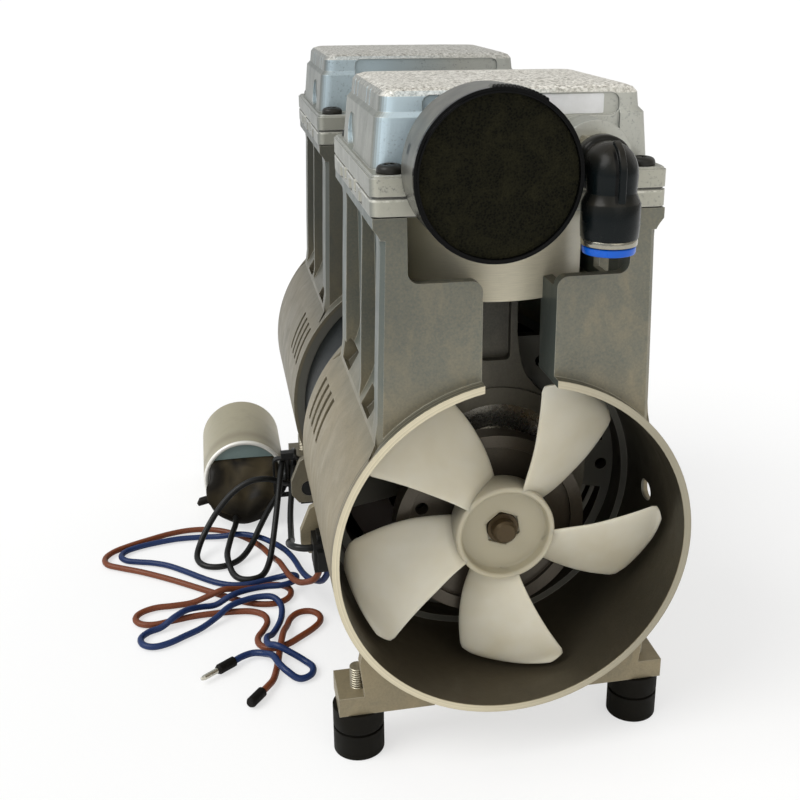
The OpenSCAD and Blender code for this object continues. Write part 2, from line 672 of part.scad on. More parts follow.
// Crank journal with its counterweight, for the crank pin at angle a
module eccentric(a) {
  color([0.5, 0.48, 0.43]) translate([0, 0, shaft_z]) difference() {
    union() {
      bar(weight_r, -weight_y - 6, -weight_y, -weight_off * cos(a), -weight_off * sin(a), 120);
      difference() {
        bar(weight_r, -weight_y - 8, -weight_y - 5, -weight_off * cos(a), -weight_off * sin(a),
          120);
        bar(weight_r - 5, -weight_y - 9, -weight_y - 6, -weight_off * cos(a),
          -weight_off * sin(a), 120);
      }
      bar(12, -weight_y - 9, -weight_y - 5, 0, 0, 64);
      bar(21, -weight_y - 1, -cyl_y - rod_w / 2 - free_gap, throw * cos(a), throw * sin(a), 96);
      bar(journal_r, -weight_y - 1, -cyl_y + 7, throw * cos(a), throw * sin(a), 96);
    }
    bar(shaft_end_r + fit_gap, -weight_y - 20, -cyl_y + 20, 0, 0, 64);
    // Hole for a balance screw
    bar(2.6, -weight_y - 9, -weight_y + 1, -weight_off * cos(a) - 27, -weight_off * sin(a) + 9, 32);
  }
}

module front_eccentric() {
  eccentric(crank_deg);
}

module rear_eccentric() {
  rear() eccentric(crank_deg + 180);
}

module crank_bearing(s) {
  color(STEEL) translate([s * pin_x, 0, shaft_z + s * pin_z])
    bearing_ring(crank_bearing_r, journal_r + run_gap,
      -cyl_y - crank_bearing_w / 2, -cyl_y + crank_bearing_w / 2);
}

module front_crank_bearing() {
  crank_bearing(1);
}

module rear_crank_bearing() {
  rear() crank_bearing(-1);
}

// Rod with its eye round the crank bearing, drawn round the crank pin
module rod_shape() {
  top = rod_top_z - shaft_z - pin_z;
  difference() {
    union() {
      bar(rod_eye_r, -cyl_y - rod_w / 2, -cyl_y + rod_w / 2, 0, 0, 120);
      slab(-cyl_y - rod_w / 2 + 1, -cyl_y + rod_w / 2 - 1)
        polygon([
          [-22, 31], [-16.2, 37.5], [-13, 41.5], [-10.8, 46], [-9.6, 52], [-shank_half, 60],
          [-shank_half, top - 2], [shank_half, top - 2], [shank_half, 60], [9.6, 52], [10.8, 46],
          [13, 41.5], [16.2, 37.5], [22, 31]]);
      post(21.5, top - 4, top, 0, -cyl_y, 96);
    }
    bar(crank_bearing_r + fit_gap, -cyl_y - rod_w, -cyl_y + rod_w, 0, 0, 120);
    // Recesses that leave an I-section
    for (y = [-cyl_y - rod_w / 2 - 1, -cyl_y + 3])
      slab(y, y + rod_w / 2 - 2) soft_rect(-shank_half + 2.6, shank_half - 2.6, 49, top - 7, 2);
  }
}

module front_connecting_rod() {
  color([0.6, 0.59, 0.55]) translate([pin_x, 0, shaft_z + pin_z]) rod_shape();
}

module rear_connecting_rod() {
  color([0.6, 0.59, 0.55]) rear() translate([-pin_x, 0, shaft_z - pin_z]) rod_shape();
}

// Piston plate, its cup seal and the retainer, at the height z of the crown
module piston(z) {
  color([0.7, 0.7, 0.68]) translate([0, -cyl_y, 0]) difference() {
    union() {
      post(bore_r - 1.5, z - 6, z - 3, 0, 0, 96);
      post(12, z - 9, z - 6, 0, 0, 48);
    }
    post(3 + fit_gap, z - 10, z, 0, 0, 32);
  }
}

module cup_seal(z) {
  color([0.25, 0.2, 0.15]) translate([0, -cyl_y, 0]) difference() {
    post(bore_r - run_gap, z - 3, z, 0, 0, 120);
    post(bore_r - 1.1, z - 2, z + 1, 0, 0, 96);
    post(3 + fit_gap, z - 4, z, 0, 0, 32);
  }
}

module retainer(z) {
  color(STEEL) translate([0, -cyl_y, 0]) {
    post(bore_r - 3, z - 2, z - 0.2, 0, 0, 96);
    post(3, z - 9, z - 1, 0, 0, 32);
  }
}

module front_piston() {
  piston(crown_z);
}

module rear_piston() {
  rear() piston(crown_z - 2 * pin_z);
}

module front_piston_seal() {
  cup_seal(crown_z);
}

module rear_piston_seal() {
  rear() cup_seal(crown_z - 2 * pin_z);
}

module front_seal_retainer() {
  retainer(crown_z);
}

module rear_seal_retainer() {
  rear() retainer(crown_z - 2 * pin_z);
}

module sleeve() {
  color([0.82, 0.82, 0.8]) translate([0, -cyl_y, 0]) difference() {
    post(sleeve_r, sleeve_z, tower_top, 0, 0, 180);
    post(bore_r, sleeve_z - 1, tower_top + 1, 0, 0, 180);
    // O-ring groove in the upper face
    difference() {
      post(35, tower_top - 1.2, tower_top + 1, 0, 0, 96);
      post(33.2, tower_top - 2, tower_top + 2, 0, 0, 96);
    }
  }
}

module front_cylinder_sleeve() {
  sleeve();
}

module rear_cylinder_sleeve() {
  rear() sleeve();
}

module sleeve_seal() {
  color([0.1, 0.1, 0.1]) translate([0, -cyl_y, 0]) difference() {
    post(34.8, tower_top - 1.1, tower_top, 0, 0, 96);
    post(33.4, tower_top - 2, tower_top + 1, 0, 0, 96);
  }
}

module front_sleeve_seal() {
  sleeve_seal();
}

module rear_sleeve_seal() {
  rear() sleeve_seal();
}

// Square outline with small corners, centred on the cylinder
module head_outline(inset = 0) {
  soft_rect(-head_w / 2 + inset, head_w / 2 - inset,
    -cyl_y - head_w / 2 + inset, -cyl_y + head_w / 2 - inset, 3);
}

module head_screw_places(z) {
  for (x = [-screw_x, screw_x], y = [-screw_y, screw_y])
    translate([x, -cyl_y + y, z]) children();
}

module valve_plate() {
  color([0.7, 0.7, 0.69]) difference() {
    union() {
      translate([0, 0, tower_top]) linear_extrude(height = valve_plate_t) head_outline(0.6);
      translate([0, 0, tower_top + 0.5])
        linear_extrude(height = valve_plate_t - 1) head_outline();
    }
    head_screw_places(tower_top - 1)
      cylinder(r = screw_r + 0.3, h = valve_plate_t + 2, $fn = 32);
    // Intake ports on the left and exhaust ports on the right
    for (x = [-20, 20], y = [-8, 0, 8])
      post(3.5, tower_top - 1, head_z + 1, x, -cyl_y + y, 32);
    // Recess under the intake reed and over the exhaust reed
    block(-26, -14, -cyl_y - 19, -cyl_y + 15, tower_top - 1, tower_top + 0.6);
    block(14, 26, -cyl_y - 15, -cyl_y + 19, head_z - 0.6, head_z + 1);
    // Scallops along the sides
    for (s = [0, 1], y = [-26, 0, 26])
      mirror([s, 0, 0])
        post(4, tower_top - 1, head_z - 2, head_w / 2 + 1, -cyl_y + y, 32);
    for (s = [0, 1], y = [-13, 13])
      mirror([s, 0, 0])
        post(3, tower_top + 2, head_z + 1, head_w / 2 + 1, -cyl_y + y, 32);
  }
}

module front_valve_plate() {
  valve_plate();
}

module rear_valve_plate() {
  rear() valve_plate();
}

module reed_valves() {
  color(STEEL) {
    block(-25.5, -14.5, -cyl_y - 18.5, -cyl_y + 14.5, tower_top + 0.1, tower_top + 0.5);
    block(14.5, 25.5, -cyl_y - 14.5, -cyl_y + 18.5, head_z - 0.6, head_z - 0.2);
  }
}

module front_reed_valves() {
  reed_valves();
}

module rear_reed_valves() {
  rear() reed_valves();
}

// Rectangle of half sides hx and hy over the cylinder, at height z
module dome_level(z, hx, hy, r) {
  translate([0, 0, z]) linear_extrude(height = 0.1)
    soft_rect(-hx, hx, -cyl_y - hy, -cyl_y + hy, r);
}

// Head body that narrows in two steps towards its crowned top
module dome() {
  hx = dome_half;
  hy = dome_len_half;
  difference() {
    union() {
      hull() {
        dome_level(flange_z - 0.5, hx, hy, 5);
        dome_level(flange_z + dome_h - 8.5, hx - 1.7, hy - 0.6, 5);
        dome_level(flange_z + dome_h - 6.9, hx - 3.2, hy - 1.8, 5);
      }
      hull() {
        dome_level(flange_z + dome_h - 7.5, hx - 3.2, hy - 1.8, 5);
        dome_level(flange_z + dome_h - 2, hx - 3.8, hy - 2.2, 5);
        dome_level(flange_z + dome_h - 0.4, hx - 5, hy - 3.4, 5);
        dome_level(flange_z + dome_h + 0.4, hx - 7.3, hy - 5.7, 5);
        dome_level(flange_z + dome_h + 1.4, hx - 22.3, hy - 21.2, 5);
      }
    }
    // Panel set back in the front and back faces
    for (t = [0, 1])
      translate([0, -cyl_y, 0]) mirror([0, t, 0]) {
        slab(-hy - 10, -hy + 3) soft_rect(-31, 36.7, 244, 251.4, 3);
        slab(-hy - 10, -hy + 1.8) soft_rect(-31, 36.7, 222, 247.5, 1);
      }
    // Oval dish and four upright grooves on the left side
    side_slab(-60, -hx + 2.1) soft_rect(-77.7, -57.7, 227.5, 240.5, 6.4);
    for (y = [-58, -66, -88, -96])
      block(-60, -hx + 4.4, y - 0.8, y + 0.8, 246, 254);
  }
}

// Cylinder head, with ports at the front only when front is true
module head(front) {
  color([0.68, 0.72, 0.76]) difference() {
    union() {
      // Flange with its edges set back
      translate([0, 0, head_z]) linear_extrude(height = flange_t) head_outline(1);
      translate([0, 0, head_z]) linear_extrude(height = flange_t - 0.3) head_outline(0.6);
      translate([0, 0, head_z + 0.5]) linear_extrude(height = flange_t - 1.4) head_outline();
      dome();
      if (front)
        intersection() {
          for (x = [muffler_x, elbow_x])
            bar(13, -tower_front_y, -cyl_y - 30, x, elbow_axis_z, 64);
          block(-50, 50, -tower_front_y, -cyl_y, head_z, flange_z + dome_h);
        }
    }
    head_screw_places(head_z - 1)
      cylinder(r = screw_r + 0.3, h = flange_t + 2, $fn = 32);
    // Intake and exhaust chambers
    for (x = [-37, 3])
      block(x, x + 34, -cyl_y - 32, -cyl_y + 32, head_z - 1, flange_z + dome_h - 5);
    // Bores of the two tubes that join the heads
    for (x = [-20, 20])
      bar(tube_bore_r, -cyl_y + 25, -tower_back_y + 5, x, crossover_z, 48);
    if (front) {
      bar(thread_r, -tower_front_y - 1, -cyl_y - 25, muffler_x, elbow_axis_z, 48);
      bar(thread_r, -tower_front_y - 1, -cyl_y - 25, elbow_x, elbow_axis_z, 48);
    }
  }
}

module front_head() {
  head(true);
}

module rear_head() {
  rear() head(false);
}

// Pan-head screw with a hexagon socket, pointing down from z = 0
module pan_screw(r, head_r, head_h, len) {
  difference() {
    union() {
      translate([0, 0, -len]) cylinder(r = r, h = len + 0.5, $fn = 32);
      cylinder(r = head_r, h = head_h - 0.8, $fn = 48);
      translate([0, 0, head_h - 0.8])
        cylinder(r1 = head_r, r2 = head_r - 1.1, h = 0.8, $fn = 48);
    }
    translate([0, 0, 1]) cylinder(r = 1.9, h = head_h, $fn = 6);
  }
}

module head_screws() {
  color([0.08, 0.08, 0.08])
    head_screw_places(flange_z) pan_screw(screw_r, screw_head_r, 3, 29);
}

module front_head_screws() {
  head_screws();
}

module rear_head_screws() {
  rear() head_screws();
}

// Angles of a blade's leading and trailing edge at radius q of a fan of radius 62
function lead_deg(q) =
  blade_span / 2 - 7 * (60 - min(q, 60)) / 40 - (q > 59 ? 6 * pow((q - 59) / 3, 2) : 0);
function trail_deg(q) =
  -blade_span / 2 - 1.5 - 0.42 * (58 - min(q, 58)) + (q > 57 ? 10.5 * pow((q - 57) / 5, 2) : 0);

// Blade surface point at radius r and fraction t from the trailing to the leading edge
function blade_pt(r, t, side) =
  let (q = r * 62 / blade_r, a = trail_deg(q) + t * (lead_deg(q) - trail_deg(q)),
    w = blade_pitch * (r < 30 ? 0.86 : 1))
  [r * cos(a), -(fan_y - 6.5 + (t - 0.5) * w + 1.2 * sin(180 * t)) + side * blade_t / 2,
    r * sin(a)];
blade_rows = [17.5, 23, 30, 38, 46, 53, 58, 60.5, 61.7, 62];
blade_cols = 6;

module blade() {
  n = len(blade_rows);
  m = blade_cols + 1;
  k = blade_r / 62;
  pts = concat(
    [for (r = blade_rows, c = [0 : blade_cols]) blade_pt(r * k, c / blade_cols, -1)],
    [for (r = blade_rows, c = [0 : blade_cols]) blade_pt(r * k, c / blade_cols, 1)]);
  half = n * m;
  faces = concat(
    [for (i = [0 : n - 2], c = [0 : m - 2]) [i * m + c, i * m + c + 1, (i + 1) * m + c + 1]],
    [for (i = [0 : n - 2], c = [0 : m - 2]) [i * m + c, (i + 1) * m + c + 1, (i + 1) * m + c]],
    [for (i = [0 : n - 2], c = [0 : m - 2])
      [half + i * m + c, half + (i + 1) * m + c + 1, half + i * m + c + 1]],
    [for (i = [0 : n - 2], c = [0 : m - 2])
      [half + i * m + c, half + (i + 1) * m + c, half + (i + 1) * m + c + 1]],
    [for (c = [0 : m - 2]) [c, half + c, half + c + 1]],
    [for (c = [0 : m - 2]) [c, half + c + 1, c + 1]],
    [for (c = [0 : m - 2]) [(n - 1) * m + c, (n - 1) * m + c + 1, half + (n - 1) * m + c + 1]],
    [for (c = [0 : m - 2])
      [(n - 1) * m + c, half + (n - 1) * m + c + 1, half + (n - 1) * m + c]],
    [for (i = [0 : n - 2]) [i * m, (i + 1) * m, half + (i + 1) * m]],
    [for (i = [0 : n - 2]) [i * m, half + (i + 1) * m, half + i * m]],
    [for (i = [0 : n - 2])
      [i * m + m - 1, half + i * m + m - 1, half + (i + 1) * m + m - 1]],
    [for (i = [0 : n - 2])
      [i * m + m - 1, half + (i + 1) * m + m - 1, (i + 1) * m + m - 1]]);
  polyhedron(points = pts, faces = faces);
}

module fan() {
  color(NYLON) translate([0, 0, shaft_z]) difference() {
    union() {
      difference() {
        union() {
          bar(hub_r, -fan_y + 1.2, -fan_y + 12, 0, 0, 96);
          bar(hub_r - 1.2, -fan_y, -fan_y + 2, 0, 0, 96);
          translate([0, -fan_y + 1.2, 0]) rotate([90, 0, 0])
            rotate_extrude($fn = 96) translate([hub_r - 1.2, 0]) circle(r = 1.2, $fn = 24);
        }
        bar(hub_r - 2.4, -fan_y - 1, -fan_y + 5, 0, 0, 96);
        bar(hub_r - 2.4, -fan_y + 8, -fan_y + 13, 0, 0, 96);
      }
      bar(9.5, -fan_y + 6, -fan_y + 13.5, 0, 0, 64);
      for (k = [0 : blades - 1]) rotate([0, -(blade_deg + k * 360 / blades), 0]) blade();
    }
    bar(shaft_end_r + fit_gap, -fan_y - 2, -fan_y + 20, 0, 0, 64);
    // Hexagonal mouth of the bore
    bar(7.2, -fan_y + 4, -fan_y + 6.5, 0, 0, 6);
  }
}

module front_fan() {
  fan();
}

module rear_fan() {
  rear() fan();
}

module through_bolts() {
  color(STEEL) through_bolt_places() bar(bolt_r, -web_y - 6, web_y + 6, 0, 0, 32);
}

module hex_nut(r, h, bore) {
  difference() {
    cylinder(r = r, h = h, $fn = 6);
    translate([0, 0, -1]) cylinder(r = bore, h = h + 2, $fn = 32);
  }
}

module through_bolt_nuts() {
  color(STEEL) for (s = [0, 1])
    mirror([0, s, 0]) through_bolt_places()
      translate([0, -web_y, 0]) rotate([90, 0, 0]) hex_nut(bolt_r + 2.1, 4, bolt_r + run_gap);
}

module foot_places() {
  for (x = [-foot_x, foot_x], y = [-foot_y, foot_y]) translate([x, y, 0]) children();
}

module rubber_feet() {
  color([0.12, 0.12, 0.12]) foot_places() difference() {
    cylinder(r = foot_r, h = foot_h, $fn = 64);
    // Groove round the middle
    translate([0, 0, foot_h * 0.52]) difference() {
      cylinder(r = foot_r + 1, h = 1.2, $fn = 64);
      translate([0, 0, -1]) cylinder(r = foot_r - 0.8, h = 4, $fn = 64);
    }
    translate([0, 0, -1]) cylinder(r = 4.5, h = 9, $fn = 48);
    translate([0, 0, foot_h - 7]) cylinder(r = stud_r, h = 9, $fn = 32);
  }
}

module foot_inserts() {
  color(STEEL) foot_places() difference() {
    cylinder(r = 4.5, h = 8, $fn = 48);
    translate([0, 0, -1]) cylinder(r = insert_bore_r, h = 10, $fn = 48);
  }
}

module foot_studs() {
  color(STEEL) foot_places()
    translate([0, 0, foot_h - 7]) cylinder(r = stud_r, h = 23.5, $fn = 32);
}

module muffler_body() {
  color([0.03, 0.03, 0.03]) difference() {
    union() {
      bar(muffler_r, -muffler_y + 1, -muffler_y + muffler_len, muffler_x, muffler_z, 120);
      bar(muffler_r - 1, -muffler_y, -muffler_y + 2, muffler_x, muffler_z, 120);
      bar(10, -muffler_y + muffler_len, -tower_front_y - fit_gap, muffler_x, muffler_z, 6);
      bar(thread_r - fit_gap, -tower_front_y - 2, -cyl_y - 33, muffler_x, elbow_axis_z, 48);
    }
    bar(muffler_r - 1.6, -muffler_y - 1, -muffler_y + muffler_len - 2, muffler_x, muffler_z,
      120);
    bar(4, -muffler_y + 2, -cyl_y - 30, muffler_x, elbow_axis_z, 32);
  }
}

module muffler_foam() {
  color([0.1, 0.1, 0.07])
    bar(muffler_r - 1.6 - fit_gap, -muffler_y + 1.5, -muffler_y + 10, muffler_x, muffler_z, 96);
}

module elbow_nipple() {
  color([0.75, 0.7, 0.55]) translate([elbow_x, 0, elbow_axis_z]) difference() {
    union() {
      bar(thread_r - fit_gap, -tower_front_y - 1, -cyl_y - 33, 0, 0, 48);
      bar(9.5, -tower_front_y - 5, -tower_front_y - fit_gap, 0, 0, 6);
      bar(4.6, -elbow_y + 4, -tower_front_y, 0, 0, 48);
    }
    bar(3, -elbow_y + 3, -cyl_y - 30, 0, 0, 32);
  }
}

module elbow_body() {
  color([0.05, 0.05, 0.05]) translate([elbow_x, 0, 0]) difference() {
    union() {
      bar(9, -elbow_y, -tower_front_y - 5.6, 0, elbow_axis_z, 64);
      translate([0, -elbow_y, elbow_axis_z]) sphere(r = 9, $fn = 64);
      post(8.6, elbow_axis_z - 14, elbow_axis_z, 0, -elbow_y, 64);
      post(collar_r, collar_z0, elbow_axis_z - 13, 0, -elbow_y, 64);
      translate([0, -elbow_y, elbow_axis_z - 13])
        cylinder(r1 = collar_r, r2 = collar_r - 1.2, h = 1.8, $fn = 64);
      // Rib round the outside of the bend
      side_slab(-1.2, 1.2)
        polygon([
          [-elbow_y + 10, elbow_axis_z], [-elbow_y + 10, elbow_axis_z + 9.4],
          [-elbow_y - 4, elbow_axis_z + 9.4], [-elbow_y - 6.6, elbow_axis_z + 7.8],
          [-elbow_y - 8.8, elbow_axis_z + 5.1], [-elbow_y - 9.9, elbow_axis_z + 2.4],
          [-elbow_y - 10.2, elbow_axis_z - 0.6], [-elbow_y - 10.2, elbow_axis_z - 12.6],
          [-elbow_y, elbow_axis_z - 12.6]]);
    }
    bar(4.6 + run_gap, -elbow_y + 2, -tower_front_y, 0, elbow_axis_z, 48);
    post(tube_r + 0.1, collar_z0 - 1, collar_z0 + socket_len, 0, -elbow_y, 64);
    post(4, collar_z0, elbow_axis_z, 0, -elbow_y, 48);
    // Room for the grip ring and the release ring
    post(tube_r + 2.3, collar_z0 - 1, collar_z0 + 5, 0, -elbow_y, 64);
  }
}

module elbow_grip_ring() {
  color([0.8, 0.8, 0.78]) translate([elbow_x, -elbow_y, 0]) difference() {
    post(collar_r - 0.3, collar_z0 - 2, collar_z0, 0, 0, 64);
    post(tube_r + 1.4, collar_z0 - 3, collar_z0 + 1, 0, 0, 64);
  }
}

module release_ring() {
  color([0.1, 0.35, 0.8]) translate([elbow_x, -elbow_y, 0]) difference() {
    union() {
      post(tube_r + 1.3, collar_z0 - 5.5, collar_z0 + 2.5, 0, 0, 64);
      post(9.2, collar_z0 - 6.5, collar_z0 - 4, 0, 0, 64);
    }
    post(tube_r + 0.15, collar_z0 - 8, collar_z0 + 4, 0, 0, 64);
  }
}

module crossover_tubes() {
  color(STEEL) for (x = [-20, 20])
    difference() {
      bar(crossover_r, -cyl_y + 34, cyl_y - 34, x, crossover_z, 48);
      bar(crossover_r - 1.2, -cyl_y + 33, cyl_y - 33, x, crossover_z, 48);
    }
}

// Unit vector along v
function unit(v) = v / norm(v);

// Direction of route p at its point i
function heading(p, i) = unit(p[min(i + 1, len(p) - 1)] - p[max(i - 1, 0)]);

// Sideways direction at point i, carried along the route so that the tube doesn't twist
function sideways(p, i) =
  i == 0 ? unit(cross(heading(p, 0), [0.3, 0.2, 1]))
  : let (t = heading(p, i), a = sideways(p, i - 1)) unit(a - (a * t) * t);

// Ring of eight points round point i of route p
function lead_ring(p, i, r) =
  let (a = sideways(p, i), b = cross(heading(p, i), a))
  [for (k = [0 : 7]) p[i] + r * (cos(45 * k) * a + sin(45 * k) * b)];

// Tube of radius r along route p
module lead(p, r) {
  n = len(p);
  last = 8 * (n - 1);
  polyhedron(
    points = [for (i = [0 : n - 1]) each lead_ring(p, i, r)],
    faces = concat(
      [for (i = [0 : n - 2], k = [0 : 7])
        [8 * i + k, 8 * i + 8 + k, 8 * i + 8 + (k + 1) % 8]],
      [for (i = [0 : n - 2], k = [0 : 7])
        [8 * i + k, 8 * i + 8 + (k + 1) % 8, 8 * i + (k + 1) % 8]],
      [for (k = [1 : 6]) [0, k, k + 1]],
      [for (k = [1 : 6]) [last, last + k + 1, last + k]]));
}

// Least free gap of a route to itself, past its neighbours along the lead
function least_gap(p, r) =
  min([for (i = [0 : len(p) - 1], j = [i + 3 : 1 : len(p) - 1])
    if (norm(p[i] - p[j]) < 40) norm(p[i] - p[j]) - 2 * r]);

// Places children at the end of route p, with X along the lead's last straight
module at_end(p) {
  n = len(p);
  t = p[n - 1] - p[n - 2];
  translate(p[n - 1]) rotate([0, 0, atan2(t[1], t[0])]) rotate([0, 90, 0]) children();
}

module brown_lead() {
  color([0.5, 0.24, 0.12]) lead(brown_route, lead_r);
}

module blue_lead() {
  color([0.1, 0.2, 0.42]) lead(blue_route, lead_r);
}

module capacitor_lead() {
  color([0.05, 0.05, 0.05]) lead(cap_route, cap_lead_r);
}

module end_sleeve() {
  cylinder(r = end_sleeve_r, h = end_sleeve_len - 1, $fn = 24);
  translate([0, 0, end_sleeve_len - 1])
    cylinder(r1 = end_sleeve_r, r2 = end_sleeve_r - 0.6, h = 1, $fn = 24);
}

module brown_terminal_sleeve() {
  color([0.06, 0.06, 0.06]) at_end(brown_route) end_sleeve();
}

module blue_terminal_sleeve() {
  color([0.06, 0.06, 0.06]) at_end(blue_route) end_sleeve();
}

module blue_terminal_pin() {
  color([0.8, 0.76, 0.66]) at_end(blue_route) translate([0, 0, end_sleeve_len]) {
    cylinder(r = end_pin_r, h = 7, $fn = 24);
    translate([0, 0, 7]) cylinder(r1 = end_pin_r, r2 = end_pin_r - 0.5, h = 1.5, $fn = 24);
  }
}

// Flat band that holds the four passes of the capacitor's lead together
module cable_tie() {
  color([0.3, 0.3, 0.3]) difference() {
    union() {
      slab(75 - tie_w / 2, 75 + tie_w / 2) soft_rect(-77.2, -62.2, 18.8, 41.6, 3);
      // Head of the tie
      block(-72.5, -66, 75 - tie_w / 2 - 0.5, 75 + tie_w / 2 + 0.5, 41, 44.6);
    }
    slab(75 - tie_w, 75 + tie_w) soft_rect(-76.1, -63.3, 19.9, 40.5, 2);
  }
}

module lead_gland() {
  block(gland_x0, gland_x0 + gland_w, -boss_y - gland_len, -boss_y, gland_z0, gland_top);
  block(gland_x0 + 1.5, gland_x0 + gland_w - 1.5, -boss_y - gland_len - 2,
    -boss_y - gland_len + 1, gland_z0 + 2, gland_top - 3);
  block(gland_x0 + 2, gland_x0 + gland_w, -boss_y - gland_len + 3, -boss_y - 3,
    gland_top - 1, gland_top + 2.5);
  bar(gland_neck_r, -boss_y - 1, -drum_in_y, gland_neck_x, gland_neck_z, 32);
}

module lead_glands() {
  color([0.05, 0.05, 0.05]) {
    lead_gland();
    rear() lead_gland();
  }
}

module capacitor_can() {
  color([0.78, 0.75, 0.68]) difference() {
    union() {
      bar(cap_r, cap_y, cap_y + cap_len - 1.5, cap_x, cap_r, 96);
      bar(cap_r - 1.2, cap_y - 1, cap_y + cap_len, cap_x, cap_r, 96);
      translate([cap_x, cap_y, cap_r]) rotate([90, 0, 0])
        rotate_extrude($fn = 96) translate([cap_r - 1.2, 0]) circle(r = 1.2, $fn = 24);
      translate([cap_x, cap_y + cap_len - 1.5, cap_r]) rotate([90, 0, 0])
        rotate_extrude($fn = 96) translate([cap_r - 1.5, 0]) circle(r = 1.5, $fn = 24);
    }
    // Lid set back inside the rolled rim
    bar(cap_r - 2.2, cap_y - 3, cap_y + 0.6, cap_x, cap_r, 96);
  }
}

// Folded boot over the terminals, cut off slanting towards the front
module capacitor_boot() {
  color([0.1, 0.09, 0.08]) {
    intersection() {
      union() {
        bar(boot_r - 0.5, cap_y - boot_len, cap_y - 1.4, cap_x - 1.5, boot_r + 1, 64);
        bar(boot_r - 0.7, cap_y - 2, cap_y + 0.6, cap_x, cap_r, 64);
      }
      side_slab(cap_x - 30, cap_x + 30)
        polygon([
          [cap_y - boot_len, 0], [cap_y + 0.6, 0], [cap_y + 0.6, 35], [cap_y - 3, 34],
          [cap_y - 11, 24], [cap_y - boot_len, 12]]);
    }
    // Small tab on the left
    hull() {
      bar(2.4, cap_y - 6, cap_y - 3, cap_x - 24.5, 12.5, 24);
      bar(2.4, cap_y - 6, cap_y - 3, cap_x - 18, 14, 24);
    }
  }
}

echo(least_gap_brown = least_gap(brown_route, lead_r),
  least_gap_blue = least_gap(blue_route, lead_r),
  least_gap_cap = least_gap(cap_route, cap_lead_r));

front_crankcase();
rear_crankcase();
front_bearing_web();
rear_bearing_web();
stator_core();
stator_windings();
rotor_core();
drive_shaft();
front_main_bearing();
rear_main_bearing();
front_eccentric();
rear_eccentric();
front_crank_bearing();
rear_crank_bearing();
front_connecting_rod();
rear_connecting_rod();
front_piston();
rear_piston();
front_piston_seal();
rear_piston_seal();
front_seal_retainer();
rear_seal_retainer();
front_cylinder_sleeve();
rear_cylinder_sleeve();
front_sleeve_seal();
rear_sleeve_seal();
front_valve_plate();
rear_valve_plate();
front_reed_valves();
rear_reed_valves();
front_head();
rear_head();
front_head_screws();
rear_head_screws();
front_fan();
rear_fan();
through_bolts();
through_bolt_nuts();
rubber_feet();
foot_inserts();
foot_studs();
muffler_body();
muffler_foam();
elbow_nipple();
elbow_body();
elbow_grip_ring();
release_ring();
crossover_tubes();
lead_glands();
capacitor_can();
capacitor_boot();
brown_lead();
blue_lead();
capacitor_lead();
cable_tie();
brown_terminal_sleeve();
blue_terminal_sleeve();
blue_terminal_pin();
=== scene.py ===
import math
import bmesh
import bpy
from mathutils import Matrix, Vector, noise


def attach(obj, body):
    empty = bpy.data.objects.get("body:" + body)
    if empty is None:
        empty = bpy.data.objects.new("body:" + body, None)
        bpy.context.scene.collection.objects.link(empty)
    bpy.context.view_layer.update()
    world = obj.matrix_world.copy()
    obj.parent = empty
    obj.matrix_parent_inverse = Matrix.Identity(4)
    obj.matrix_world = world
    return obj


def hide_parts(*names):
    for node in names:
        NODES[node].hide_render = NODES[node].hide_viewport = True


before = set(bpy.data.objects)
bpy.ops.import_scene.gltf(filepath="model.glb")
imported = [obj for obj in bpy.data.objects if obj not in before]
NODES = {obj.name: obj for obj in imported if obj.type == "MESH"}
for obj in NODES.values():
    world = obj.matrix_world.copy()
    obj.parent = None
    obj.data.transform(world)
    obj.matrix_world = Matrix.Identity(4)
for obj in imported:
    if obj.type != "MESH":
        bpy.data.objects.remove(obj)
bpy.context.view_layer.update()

# Sizes and places in millimetres, on the frame's axes: X right, Y back and Z up

MM = 0.001
SHAFT_Z = 90.0
# Inside and outside of both drums, and how far from the middle their turned lips begin
BORE_R, DRUM_R, LIP_Y = 65.2, 67.2, 137.3
# Joints between tower and valve plate, and between valve plate and head
TOWER_TOP, HEAD_BASE = 214.3, 220.8
# Distance of both cylinders from the middle
CYLINDER_Y = 82.0
HUB_R, FAN_R = 19.2, 62.0
# Middle of the front fan's blades
BLADE_Y = -115.5
MUFFLER_X, MUFFLER_Z, MUFFLER_R = -13.5, 230.0, 27.0
MUFFLER_FACE_Y = -152.6
# Middle of the elbow's nipple and of its outlet
ELBOW_X, ELBOW_Y, ELBOW_Z = 24.0, -150.0, 231.0
# Middle line of the capacitor, its end in the boot and the band next to the boot
CAN_X, CAN_Z, CAN_END_Y, CAN_BAND_Y = -92.0, 22.5, 95.0, 104.0
# The boot stays left of the pump and over the floor
BOOT_RIGHT, BOOT_LOW = -72.2, 0.5


# Camera at the photograph's place

PHOTO_SIDE = 800
FOCAL_PIXELS = 1102.8
SHIFT_PIXELS = (-50, -30)
SENSOR = 36
EYE = (-100, -478.7, 288)
YAW, PITCH, ROLL = 12.34, 19.69, 0.25


